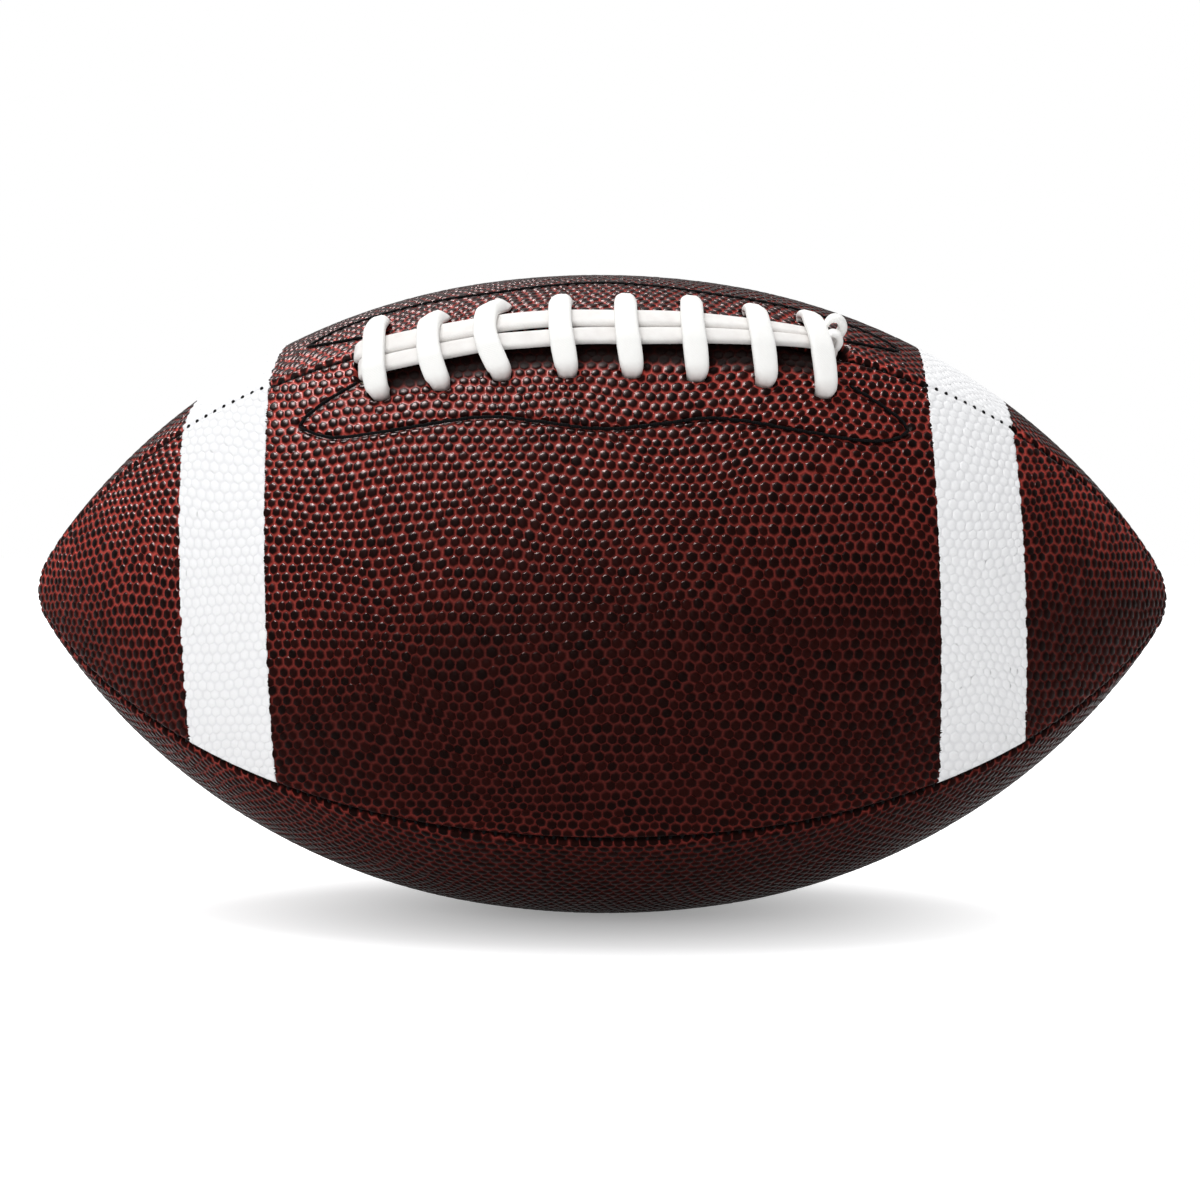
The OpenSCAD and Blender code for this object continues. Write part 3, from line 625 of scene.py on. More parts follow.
def cut_valve_hole(data, faces):
    """Opens the round hole over the valve, with its edge points on the circle."""
    d = np.hypot(data[:, 0], data[:, 1])
    faces = faces[(d[faces] > VALVE_HOLE_R).any(axis=1)]
    inside = d < VALVE_HOLE_R
    data = data.copy()
    data[inside, :2] *= (VALVE_HOLE_R / np.maximum(d[inside], NEAR_ZERO))[:, None]
    used, back = np.unique(faces, return_inverse=True)
    return weld(data[used], back.reshape(-1, 3))


def fine(distance, length, limits):
    """Marks the edges in reach that are longer than the longest one wanted there."""
    reach, longest = limits
    return (distance < reach) & (length > longest)


def panel_mesh(panel, rng):
    """Plan of one panel's pebbled skin, cut at the seams and made finer where it is worked."""
    data, faces = pebble_plan(rng)
    laced = panel.startswith("lace")
    data, faces = weld(data, faces)

    def limits(u):
        return seam_limit(u, laced), seam_limit(u, False)

    u = np.clip(data[:, 0], TIP_GAP - HALF_ARC, HALF_ARC - TIP_GAP)
    high, low = limits(u)
    inside = (np.abs(data[:, 0]) < HALF_ARC) & (data[:, 1] < high) & (data[:, 1] > -low)
    faces = faces[inside[faces].any(axis=1)]
    data[:, 0] = u
    data[:, 1] = np.clip(data[:, 1], -low, high)
    used, back = np.unique(faces, return_inverse=True)
    data, faces = data[used], back.reshape(-1, 3)
    data, faces = weld(data, faces)
    holes = hole_plan(side_of(panel)) if laced else []

    def worked(points, length):
        high, low = limits(points[:, 0])
        d = np.minimum(high - points[:, 1], low + points[:, 1])
        mark = fine(d, length, SEAM_FINE)
        if laced:
            x = np.abs(meridian(points[:, 0])[0])
            from_edge = np.minimum(np.abs(x - STRIPE_INNER_X), np.abs(x - STRIPE_OUTER_X))
            mark |= fine(from_edge, length, STRIPE_FINE)
            mark |= fine(near_line(points[:, :2], LINE_PLAN, LINE_REACH), length, LINE_FINE)
            for hu, hv, ru, rv in holes:
                d = np.hypot((points[:, 0] - hu) / ru, (points[:, 1] - hv) / rv)
                mark |= fine(d, length, HOLE_FINE)
        if panel == VALVE_PANEL:
            d = np.hypot(points[:, 0], points[:, 1]) - VALVE_HOLE_R
            mark |= fine(d, length, VALVE_FINE)
        return mark

    for _ in range(REFINE_PASSES):
        data, faces = refine(data, faces, worked)
    if panel == VALVE_PANEL:
        data, faces = cut_valve_hole(data, faces)
    return data, faces


def from_seams(data):
    """Distance from the lace seam, and from the nearer of the panel's two seams."""
    half = half_width(data[:, 0])
    return half - data[:, 1], half - np.abs(data[:, 1])


def shade(data, panel):
    """Painted shade in the seams and painted shadow in front of the strands: one there, zero
    elsewhere.
    """
    laced, nearest = from_seams(data)
    seams = 1 - smooth_step(nearest, *SEAM_SHADE)
    if panel != "lace_front":
        return seams
    # The strands' painted shadow: a band in front of them, along the lacing
    x = meridian(data[:, 0])[0]
    end = 1 - smooth_step(np.abs(x) - LACING_LENGTH / 2, *BAND_END)
    return np.maximum(seams, end * (1 - smooth_step(laced - drift(x), *BAND_SHADE)))


def painted_light_tone(data, panel):
    """Painted light: the dye brighter by the laces and the left end, painted shade toward the
    belly.
    """
    u, v = data[:, 0], data[:, 1]
    # Painted brighter toward the left end, where the light falls from
    toward_left = smooth_step(-u, 0.0, LEFT_REACH)
    # Painted highlights on the rolled edges beside the seams
    seam_highlight = SEAM_PAINTED_HIGHLIGHT * np.exp(-from_seams(data)[1] / SEAM_HIGHLIGHT_REACH)
    if not panel.startswith("lace"):
        return BELLY_TONE + BELLY_LEFT_TONE * toward_left + seam_highlight
    across = v / np.maximum(half_width(u), 1.0)
    middle, more = LACE_TONES
    return np.clip(middle + more * across + LACE_LEFT_TONE * toward_left, LEAST_TONE, 1.0) + seam_highlight


def skin_height(data, depth, keep):
    dome = np.sin(np.clip(data[:, 3], 0, MOST_HEIGHT_SHARE) * math.pi / 2 * DOME_SHARE)
    return PEBBLE_H * dome * keep - PEBBLE_FOOT_DEPTH - depth


def walled(data, faces):
    """The points to repeat lower down round a skin's open edges, and the faces with that wall."""
    pairs, first, count, _ = edge_table(faces)
    rim = pairs[first[count == 1]]
    edge_points, low = np.unique(rim, return_inverse=True)
    (a, b), (c, d) = rim.T, (low.reshape(-1, 2) + len(data)).T
    return edge_points, np.vstack([faces, np.column_stack([a, c, b]), np.column_stack([c, d, b])])


def build_panel(panel, material, coat):
    rng = np.random.default_rng(SEED + sorted(PANEL_TURNS).index(panel))
    data, faces = panel_mesh(panel, rng)
    depth, keep = sink(data, panel)
    height = skin_height(data, depth, keep)
    flip = (plan_area(data, faces) > 0) != (side_of(panel) > 0)
    faces = np.where(flip[:, None], faces[:, ::-1], faces)
    edge_points, all_faces = walled(data, faces)
    all_data = np.vstack([data, data[edge_points]])
    all_height = np.concatenate([height, height[edge_points] - WALL_DEPTH])
    points = panel_point(panel, all_data[:, 0], all_data[:, 1], all_height)
    border = data[edge_points, :2]
    at_hole = (panel == VALVE_PANEL) & (np.hypot(border[:, 0], border[:, 1]) < 2 * VALVE_HOLE_R)
    border = np.where(at_hole[:, None], border * HOLE_UV_SHARE,
                      border + np.sign(border) * (0.0, WALL_DEPTH))
    uv = np.vstack([data[:, :2], border]) / (2 * HALF_ARC + 4 * WALL_DEPTH) + 0.5
    # Painted shade in the sunken places, seams, holes and grooves: darker the deeper they sink
    recess_shade = np.concatenate([depth, depth[edge_points] + WALL_DEPTH])
    values = {"rim": all_data[:, 2], "tint": all_data[:, 4], "recess_shade": recess_shade,
              "painted_light_tone": painted_light_tone(all_data, panel), "shade": shade(all_data, panel)}
    glossed.objects.link(make_piece("leather_" + panel, "cover_panel_" + panel,
                                    material, points, all_faces, values, uv))
    if panel.startswith("lace"):
        for end, word in ((-1, "left"), (1, "right")):
            build_stripe(panel, end, word, data, faces, height, coat)


def build_stripe(panel, end, word, data, faces, height, material):
    """White coating over the leather's own pebbles, between the two edges of a stripe."""
    lean = STRIPE_LEAN * data[:, 1] / np.maximum(half_width(data[:, 0]), 1.0)
    x = end * (meridian(data[:, 0])[0] + lean)
    own = end * (meridian(data[:, 5])[0] + lean)
    middles, owners = x[faces].mean(axis=1), own[faces].mean(axis=1)
    inner = middles + INNER_SCALLOP_SHARE * (owners - middles)
    outer = middles + OUTER_SCALLOP_SHARE * (owners - middles)
    chosen = (inner > STRIPE_INNER_X) & (outer < STRIPE_OUTER_X)
    used, back = np.unique(faces[chosen], return_inverse=True)
    film = data[used]
    edge_points, all_faces = walled(film, back.reshape(-1, 3))
    low = 1 - np.clip(film[:, 3], 0.0, 1.0)
    top = height[used] + FILM_T + VALLEY_FILL_SHARE * PEBBLE_H * low ** 2
    all_film = np.vstack([film, film[edge_points]])
    all_top = np.concatenate([top, top[edge_points] - 2 * FILM_T])
    points = panel_point(panel, all_film[:, 0], all_film[:, 1], all_top)
    uv = all_film[:, :2] / (2 * HALF_ARC) + 0.5
    place = "%s_%s" % (word, panel.removeprefix("lace_"))
    make_piece("stripe_coat_" + place, "stripe_" + place, material, points,
               all_faces, {"rim": all_film[:, 2]}, uv)


# Threads

def tube_faces(rings, sides):
    """Faces of a tube made of rings of points, closed at both ends."""
    faces = []
    for k in range(rings - 1):
        for q in range(sides):
            a, b = k * sides + q, k * sides + (q + 1) % sides
            faces += [(a, b, a + sides), (b, b + sides, a + sides)]
    last = (rings - 1) * sides
    for q in range(1, sides - 1):
        faces += [(0, q + 1, q), (last, last + q, last + q + 1)]
    return np.array(faces)


def build_stitches(name, node, stitches, turn, radius, sag, material):
    """Rounded stitches from their starts to their ends, their middles raised along up."""
    start, end, up = (np.array(column)[:, None, None] for column in zip(*stitches))
    length = np.linalg.norm(end - start, axis=-1, keepdims=True)
    along = (end - start) / length
    side = np.cross(along, up)
    side /= np.linalg.norm(side, axis=-1, keepdims=True)
    over = np.cross(side, along)
    w = np.linspace(-1.0, 1.0, THREAD_RINGS)[:, None, None]
    a = 2 * math.pi * np.arange(THREAD_SIDES)[:, None] / THREAD_SIDES
    bulge = THREAD_END_SHARE + (1 - THREAD_END_SHARE) * np.sqrt(1 - w ** THREAD_ROUNDING)
    middle = (start + end) / 2 + w * (end - start) / 2 + over * sag * (1 - w ** 2)
    points = middle + radius * bulge * (np.cos(a) * side + np.sin(a) * over)
    run = np.broadcast_to((w + 1) / 2 * length, (*points.shape[:-1], 1))
    first = THREAD_RINGS * THREAD_SIDES * np.arange(len(stitches))[:, None, None]
    faces = tube_faces(THREAD_RINGS, THREAD_SIDES) + first
    make_piece(name, node, material, turned(points, turn).reshape(-1, 3),
               faces.reshape(-1, 3), {"along": run.ravel()})


def build_seam_thread(word, turn, low, high, material, rng):
    """Stitches across a seam, seen at the bottom of its groove."""
    stitches = []
    count = int((high - low) / STITCH_PITCH)
    for s in np.linspace(low, high, count + 1):
        x, r, t = (float(q) for q in meridian(s))
        up = np.array([math.sin(t), 0.0, math.cos(t)])
        in_coat = turn == 0.0 and float(coated(s)) > 0.5
        deep = STITCH_DEPTH * (COAT_STITCH_SHARE if in_coat else 1.0)
        base = np.array([x, 0.0, float(corner_r(r))]) - deep * up
        lean = rng.uniform(-STITCH_LEAN, STITCH_LEAN)
        half = np.array([lean, DOT_R if in_coat else STITCH_HALF, 0.0])
        stitches.append((base - half, base + half, up))
    build_stitches("stitches_" + word, "thread_" + word, stitches, turn + ROLL, THREAD_R,
                   STITCH_SAG, material)


def build_line_thread(ending, material, rng):
    """Stitches along the line round the lacing, pressed into the leather."""
    line = even_spaced(STITCH_LINE, LINE_STITCH)
    stitches = []
    for pair in zip(line[:-1], line[1:]):
        start, end = (panel_point("lace_" + ending,
                                  *lace_to_plan(x, y + rng.uniform(-LINE_WOBBLE, LINE_WOBBLE)),
                                  LINE_LIFT) for x, y in pair)
        up = (start + end) / 2 * LINE_UP_SHARES
        over = LINE_OVERLAP_SHARE * (end - start)
        stitches.append((start - over, end + over, up / np.linalg.norm(up)))
    build_stitches("line_stitches_" + ending, "patch_stitching_" + ending, stitches, 0.0,
                   LINE_THREAD_R, LINE_SAG, material)


# Lace

def crest_z(x, y):
    across = np.sqrt(y * y + CREST_ROUND ** 2) + CORNER_OFFSET
    r = outline_r(x) + AXIS_OFFSET
    return np.sqrt(r * r - across * across) - CORNER_OFFSET


def crest_normal(x, y):
    n = np.stack([crest_z(x - CREST_STEP, y) - crest_z(x + CREST_STEP, y),
                  crest_z(x, y - CREST_STEP) - crest_z(x, y + CREST_STEP),
                  np.full(np.shape(x), 2 * CREST_STEP)], axis=-1)
    return n / np.linalg.norm(n, axis=-1, keepdims=True)


BAR_HEIGHT = STRAND_HEIGHT + LACE_T + BAR_GAP
# Across share, height share, and width share on the front and rear half of a bar
BAR_SHARES = ((1.0, -0.39, 0.76, 0.6), (1.0, 0.02, 0.8, 0.68), (0.975, 0.33, 0.84, 0.77),
              (0.89, 0.56, 0.88, 0.82), (0.73, 0.73, 0.91, 0.84), (0.54, 0.9, 0.92, 0.85),
              (0.4, 1.0, 0.91, 0.86), (0.13, 1.0, 0.88, 0.87))
# Share of a bar's curl at each of those places on the rear half
CURL_SHARES = (0.3, 0.5, 0.8, 1.0, 0.9, 0.6, 0.3, 0.0)
# How far the two edges lag behind the middle there, on the front and rear half
CUPS = ((1.1, 1.4), (1.1, 1.3), (0.9, 1.1), (0.5, 0.8), (0.2, 0.5), (0.1, 0.3), (0.0, 0.2),
        (0.0, 0.1))
FOOT_SHARES = ((0.84, 1.0), (0.97, 0.7))
# Between which shares across a bar's rear end turns
TURN_RANGE_SHARES = (0.3, 0.9)
BOW_POWER = 1.5
TURN_SHARES = ((-0.48, 1.05, 0.95), (-0.1, 0.7, 0.85))
SINK_SHARES = ((0.06, 0.18), (0.08, 0.69))
END_RUN_SHARES = ((0.4, 0.3), (1.0, 0.63))
END_RUN_ANGLES = (60.0, 30.0)
INNER_RUN_SHARES = (0.25, 0.5, 0.75)
INNER_RUN_ANGLE = 26.0
STRAND_KEYS = 24
# Points round the lace and between two keys, and the roundness of its section
LACE_SIDES = 20
LACE_STEPS = 5
WIDE_POWER = 0.5
THICK_POWER = 0.6
HOLLOW_SHARE = 0.12
# Width and offset of the front (-1) and rear (1) strand, and their shares at the last bar
STRAND_WIDTHS = {-1: 4.4, 1: 5.8}
STRAND_OFFSETS = {-1: 2.85, 1: 2.6}
RIGHT_STRAND_SHARES = {-1: (0.73, 0.69), 1: (0.62, 0.64)}
NARROW_X = 15.0
STRAND_RIGHT_X = 50.2
# Where the strands part, and how far each one moves away
OPEN_X = -15.0
OPEN_HALF = 9.0
OPEN_SHIFT = 0.35
CURL_DRIFT = -3.4
LEFT_DRIFT = 3.0
TAIL_LENGTH = 7.0
LEFT_TUCKS = {-1: 0.1, 1: -1.2}
# Place along the ball, height, width and thickness of the curl at each strand's right end
CURLS = {-1: ((50.0, 1.5, 4.2, 1.7), (50.6, 1.6, 3.4, 1.1), (51.0, 2.6, 2.8, 0.9),
              (51.3, 3.8, 2.6, 1.0), (52.1, 4.5, 2.6, 1.3), (53.4, 4.2, 2.6, 1.6),
              (54.2, 2.9, 2.6, 1.7), (54.1, 1.4, 2.8, 1.6), (53.7, 0.2, 3.4, 1.6)),
         1: ((50.0, 1.5, 4.2, 1.7), (50.6, 2.2, 3.4, 1.2), (50.8, 3.6, 3.0, 1.0),
             (51.0, 5.1, 2.8, 1.1), (51.7, 6.1, 2.8, 1.6), (53.0, 6.4, 2.8, 1.9),
             (54.3, 5.4, 2.8, 2.1), (54.6, 3.9, 2.8, 2.1), (54.2, 2.2, 3.0, 2.0),
             (53.8, 0.4, 3.6, 1.8))}


def lace_key(x, y, h, width, angle=90.0, thick=1.0, curl=0.0, cup=0.0):
    """A place of the lace: along and across the lacing, height, width, and how the width is
    turned from the lacing's length, then thickness, raised right edge and lowered edges."""
    a = math.radians(angle)
    return x, y, h, width, math.cos(a), math.sin(a), thick, curl, cup


def inner_key(x, y, depth_share=1.0, angle=90.0):
    """A place of the lace under the leather."""
    return lace_key(x, y, -INNER_DEPTH * depth_share, LACE_HOLE_W, angle)


def bar_half(i, side):
    here, there = bar_x(i, side), bar_x(i, -side)
    half = (side + 1) // 2
    keys = []
    for (a, h, *widths), curl, cup in zip(BAR_SHARES, CURL_SHARES, CUPS):
        bow = LACING_LENGTH * BAR_BOW_SHARES[i] * (1 - a * a) ** BOW_POWER
        across = side * hole_y(i, side) * a - drift(bar_x(i, 0)) * (1 - a * a)
        turn = half * REAR_TURNS[i] * smooth_step(a, *TURN_RANGE_SHARES)
        keys.append(lace_key(here + (there - here) * (1 - a) / 2 - bow, across, BAR_HEIGHT * h,
                             LACE_W * widths[half], turn, 1.0, half * BAR_CURLS[i] * curl,
                             cup[half]))
    return keys


def bar_foot(i, side):
    return [inner_key(bar_x(i, side), side * hole_y(i, side) * a, d, 0.0)
            for a, d in FOOT_SHARES]


def inner_run(i):
    here, there = bar_x(i, 1), bar_x(i + 1, -1)
    return [inner_key(here + (there - here) * w, HOLE_OFFSET * (1 - 2 * w) * FOOT_SHARES[0][0],
                      angle=INNER_RUN_ANGLE) for w in INNER_RUN_SHARES]


def strand_place(x, side):
    """Middle and width of a strand. The two part by the third bar, and narrow to the right."""
    width, offset = RIGHT_STRAND_SHARES[side]
    near = float(np.clip((x - NARROW_X) / (STRAND_RIGHT_X - NARROW_X), 0.0, 1.0))
    apart = OPEN_SHIFT * math.exp(-((x - OPEN_X) / OPEN_HALF) ** 4)
    middle = STRAND_OFFSETS[side] * (1 - (1 - offset) * near) + apart
    return side * middle - drift(x), STRAND_WIDTHS[side] * (1 - (1 - width) * near)


def left_dive(side):
    reach = WINDOW_X - LEFT_TUCKS[side]
    middle = side * STRAND_OFFSETS[side]
    top = [lace_key(-reach - a * WINDOW_LENGTH, middle - LEFT_DRIFT, h * STRAND_HEIGHT,
                    w * LACE_W) for a, h, w in TURN_SHARES]
    low = [inner_key(-reach - a * WINDOW_LENGTH, middle - (1 - d) * LEFT_DRIFT, d)
           for a, d in SINK_SHARES]
    return top + low


def right_dive(side):
    """The curl at a strand's right end, from the strand over the top and into the window."""
    middle = side * STRAND_OFFSETS[side] * RIGHT_STRAND_SHARES[side][1]
    curl = [lace_key(x, middle - CURL_DRIFT, h, w, thick=t / LACE_T)
            for x, h, w, t in CURLS[side]]
    return curl + [inner_key(curl[-1][0], side * STRAND_OFFSET - (1 - d) * CURL_DRIFT, d)
                   for _, d in SINK_SHARES[1:]]


def tail(end, side):
    return [inner_key(end * (WINDOW_X + beyond), side * STRAND_OFFSET)
            for beyond in (WINDOW_LENGTH / 2, TAIL_LENGTH)]


def strand(side):
    keys = []
    for x in np.linspace(STRAND_RIGHT_X, WINDOW_LENGTH - WINDOW_X, STRAND_KEYS + 1):
        middle, width = strand_place(x, side)
        keys.append(lace_key(x, middle, STRAND_HEIGHT, width))
    return keys


def end_run(end):
    return [inner_key(end * (WINDOW_X - a * WINDOW_LENGTH),
                      end * (STRAND_OFFSET + b * (HOLE_OFFSET - STRAND_OFFSET)), angle=angle)
            for (a, b), angle in zip(END_RUN_SHARES, END_RUN_ANGLES)]


def lace_route():
    keys = tail(1, -1)[::-1] + right_dive(-1)[::-1] + strand(-1) + left_dive(-1) + end_run(-1)
    for i in range(len(DRIFTS)):
        if i > 0:
            keys += inner_run(i - 1)
        keys += (bar_foot(i, -1) + bar_half(i, -1)
                 + bar_half(i, 1)[::-1] + bar_foot(i, 1)[::-1])
    keys += end_run(1)[::-1] + right_dive(1)[::-1] + strand(1) + left_dive(1) + tail(-1, 1)
    return keys


def ribbon(keys):
    """A flat lace along the keys, with rounded edges and a faint hollow down each face: its
    points, its faces, and each point's height, place along the lace and place across it."""
    path = catmull(keys, LACE_STEPS)
    x, y, height, width, hint_x, hint_y, thickness, curl, cup = path.T
    n = crest_normal(x, y)
    places = np.column_stack([x, y, crest_z(x, y)]) + height[:, None] * n
    along = np.gradient(places, axis=0)
    along /= np.linalg.norm(along, axis=1, keepdims=True)
    across = np.column_stack([hint_x, hint_y, np.zeros(len(path))])
    for way in (n, along):
        across -= (across * way).sum(axis=1, keepdims=True) * way
    across /= np.linalg.norm(across, axis=1, keepdims=True)
    up = np.cross(across, along)
    a = 2 * math.pi * (np.arange(LACE_SIDES) + 0.5) / LACE_SIDES
    wide = np.copysign(abs(np.cos(a)) ** WIDE_POWER, np.cos(a))
    thick = np.copysign(abs(np.sin(a)) ** THICK_POWER, np.sin(a))
    thick *= 1 - HOLLOW_SHARE * (1 - abs(wide)) ** 2
    reach = wide * width[:, None] / 2
    lift = (thick * thickness[:, None] * LACE_T / 2 + curl[:, None] * np.maximum(wide, 0.0) ** 3
            - cup[:, None] * wide ** 2)
    points = places[:, None] + across[:, None] * reach[..., None] + up[:, None] * lift[..., None]
    run = np.concatenate([[0.0], np.cumsum(np.linalg.norm(np.diff(places, axis=0), axis=1))])
    values = dict(zip(("height", "along", "across"),
                      map(np.ravel, np.broadcast_arrays(height[:, None], run[:, None], wide))))
    faces = tube_faces(len(path), LACE_SIDES)[:, [0, 2, 1]]
    return points.reshape(-1, 3), faces, values


def build_lace(material):
    points, faces, values = ribbon(lace_route())
    make_piece("lace_ribbon", "lace", material, turned(points, ROLL), faces, values)


# Materials

VALLEY_RED = (0.86, 0.125, 0.096)
VALLEY_DEEP = (0.5, 0.062, 0.048)
# The valleys' colour where they are painted in shade, toward the belly
VALLEY_PAINTED_SHADE = (0.055, 0.0112, 0.0096)
SLOPE_BROWN = (0.03, 0.004, 0.003)
TOP_BLACK = (0.004, 0.0016, 0.0014)
# Where a pebble's side turns from red to black, by its rim share
TOP_RAMP = ((0.0, (0, 0, 0)), (0.1, (0.42, 0.42, 0.42)), (0.2, (0.82, 0.82, 0.82)),
            (0.33, (1, 1, 1)))
RIM_WOBBLE = 0.2
# How fast the painted shade in hollows darkens with depth
RECESS_SHADE_SHARE = 0.55
# Painted shade in the seams and in front of the strands: how dark it is, and the roughness it adds
PAINTED_SHADE_SHARE = 0.98
PAINTED_SHADE_ROUGHNESS = 0.75
LEATHER_ROUGHNESS = (0.24, 0.4)
GLOSS_TINT = (1.0, 0.78, 0.75)
# Painted shade in the coating's valleys: greyer down in them than on the pebbles
COAT_VALLEY_SHADE_RAMP = ((0.0, (0.84, 0.84, 0.85)), (0.3, (0.95, 0.95, 0.955)))
COAT_DIRT = (0.8, 0.79, 0.78)
COAT_DIRT_SHARE = 0.16
THREAD_RAMP = ((0.0, (0.002, 0.002, 0.002)), (1.0, (0.006, 0.0055, 0.006)))
THREAD_TWISTS = 11.0
LACE_LIGHT = (0.955, 0.95, 0.925)
LACE_DARK = (0.925, 0.915, 0.885)
LACE_LOW_COLOUR = (0.45, 0.36, 0.34)
# Patchy darkening by height over the leather: what it falls by for each millimetre, from how much
LOW_DARKENING_FALL = (-0.5, 1.1)
WEAVE_WAVES = (26.0, 9.0)
# Finishes of the inner pieces: name, two colours, waves per metre, roughness, and the pieces
INNER_FINISHES = (
    ("lining_cloth", (0.62, 0.57, 0.48), (0.5, 0.45, 0.37), 900.0, 0.85,
     ["lining_panel_" + panel for panel in PANEL_TURNS]),
    ("patch_cloth", (0.42, 0.36, 0.27), (0.34, 0.28, 0.2), 900.0, 0.85,
     ["lace_patch_front", "lace_patch_rear", "lace_tongue"]),
    ("bladder_rubber", (0.03, 0.03, 0.032), (0.045, 0.045, 0.047), 200.0, 0.45,
     ["bladder", "valve_patch", "valve_housing", "valve_core"]))


class Graph:
    """A node tree, with short ways to add nodes. Values are numbers, colours or sockets."""

    def __init__(self, tree):
        self.nodes = tree.nodes
        self.links = tree.links

    def put(self, socket, value):
        if isinstance(value, (int, float)):
            socket.default_value = value
        elif isinstance(value, tuple):
            socket.default_value = (*value, 1.0)
        else:
            self.links.new(value, socket)

    def add(self, kind, inputs=(), **settings):
        """A new node with these settings, and with values put in these pairs of inputs."""
        node = self.nodes.new("ShaderNode" + kind)
        for key, value in settings.items():
            setattr(node, key, value)
        for key, value in inputs:
            self.put(node.inputs[key], value)
        return node

    def attribute(self, name):
        return self.add("Attribute", attribute_name=name).outputs["Fac"]

    def place(self):
        return self.add("TexCoord").outputs["Object"]

    def math(self, operation, *values, clamp=False):
        node = self.add("Math", enumerate(values), operation=operation, use_clamp=clamp)
        return node.outputs[0]

    def noise(self, scale, detail=3.0, roughness=0.5):
        """Noise over the row frame, with scale in waves per metre."""
        inputs = (("Scale", scale), ("Detail", detail), ("Roughness", roughness),
                  ("Vector", self.place()))
        return self.add("TexNoise", inputs).outputs["Fac"]

    def ramp(self, factor, stops):
        node = self.add("ValToRGB", [("Fac", factor)])
        elements = node.color_ramp.elements
        while len(elements) < len(stops):
            elements.new(0.5)
        for element, (at, colour) in zip(elements, stops):
            element.position = at
            element.color = (*colour, 1.0)
        return node.outputs["Color"]

    def mix(self, factor, a, b):
        inputs = (("Factor", factor), (6, a), (7, b))
        return self.add("Mix", inputs, data_type="RGBA").outputs[2]

    def background_rays(self):
        """One for the rays that show the background: the camera's, and gloss and glass."""
        camera, glass, gloss = (self.add("LightPath").outputs["Is %s Ray" % kind]
                                for kind in ("Camera", "Transmission", "Glossy"))
        return self.math("MAXIMUM", self.math("MAXIMUM", camera, glass), gloss)


class Surface(Graph):
    """A new material, with its shader's sockets."""

    def __init__(self, name):
        self.material = bpy.data.materials.new(name)
        self.material.use_nodes = True
        super().__init__(self.material.node_tree)
        self.inputs = self.nodes["Principled BSDF"].inputs

    def set(self, colour, roughness, specular=None):
        for key, value in (("Base Color", colour), ("Roughness", roughness),
                           ("Specular IOR Level", specular)):
            if value is not None:
                self.put(self.inputs[key], value)

    def bump(self, height, strength, distance):
        inputs = (("Strength", strength), ("Distance", distance), ("Height", height))
        self.put(self.inputs["Normal"], self.add("Bump", inputs).outputs["Normal"])


def leather_material():
    g = Surface("pebbled_leather")
    wobble = g.math("MULTIPLY_ADD", g.noise(1400.0), RIM_WOBBLE, -RIM_WOBBLE / 2)
    edge = g.math("ADD", g.attribute("rim"), wobble)
    red = g.mix(g.noise(90.0), VALLEY_RED, VALLEY_DEEP)
    # Painted light and shade: the valleys' red is bright by the laces and the left, dim toward the
    # belly
    red = g.mix(g.attribute("painted_light_tone"), VALLEY_PAINTED_SHADE, red)
    # Painted shade in hollows: the red turns black as the leather sinks
    red = g.mix(g.math("MULTIPLY", g.attribute("recess_shade"), RECESS_SHADE_SHARE, clamp=True), red, TOP_BLACK)
    top = g.mix(g.attribute("tint"), TOP_BLACK, g.mix(0.5, SLOPE_BROWN, TOP_BLACK))
    colour = g.mix(g.ramp(edge, TOP_RAMP), red, top)
    # Painted shade in the seams and painted shadow in front of the strands: black there, and
    # rougher
    painted_shade = g.math("MULTIPLY", g.attribute("shade"), PAINTED_SHADE_SHARE)
    smooth, rough = LEATHER_ROUGHNESS
    rough = g.math("MULTIPLY_ADD", g.noise(500.0), rough - smooth, smooth)
    rough = g.math("ADD", rough, g.math("MULTIPLY", painted_shade, PAINTED_SHADE_ROUGHNESS), clamp=True)
    g.set(g.mix(painted_shade, colour, TOP_BLACK), rough, specular=0.02)
    g.put(g.inputs["Specular Tint"], GLOSS_TINT)
    g.bump(g.noise(3200.0, 4.0, 0.6), strength=0.25, distance=0.00006)
    return g.material


def film_material():
    g = Surface("white_coat")
    dirt = g.math("MULTIPLY", g.noise(160.0), COAT_DIRT_SHARE)
    # Painted shade in the valleys, with patchy dirt over it
    colour = g.mix(dirt, g.ramp(g.attribute("rim"), COAT_VALLEY_SHADE_RAMP), COAT_DIRT)
    g.set(colour, roughness=0.45, specular=0.2)
    g.bump(g.noise(900.0, 5.0, 0.65), strength=0.35, distance=0.00022)
    return g.material


def thread_material():
    g = Surface("waxed_thread")
    twist = g.math("SINE", g.math("MULTIPLY", g.attribute("along"), THREAD_TWISTS))
    colour = g.ramp(g.math("MULTIPLY_ADD", twist, 0.5, 0.5), THREAD_RAMP)
    g.set(colour, roughness=0.5, specular=0.03)
    g.bump(twist, strength=0.3, distance=0.00008)
    return g.material


def lace_material():
    g = Surface("lace_cloth")
    # Patchy darkening low on the lace, where it comes down to the leather
    low = g.math("MULTIPLY_ADD", g.attribute("height"), *LOW_DARKENING_FALL)
    low_darkening = g.math("MULTIPLY", low, g.noise(260.0), clamp=True)
    colour = g.mix(low_darkening, g.mix(g.noise(700.0), LACE_LIGHT, LACE_DARK), LACE_LOW_COLOUR)
    g.set(colour, roughness=0.6, specular=0.2)
    across, along = (g.math("SINE", g.math("MULTIPLY", g.attribute(name), waves))
                     for name, waves in zip(("across", "along"), WEAVE_WAVES))
    g.bump(g.math("MULTIPLY", across, along), strength=0.18, distance=0.00008)
    return g.material


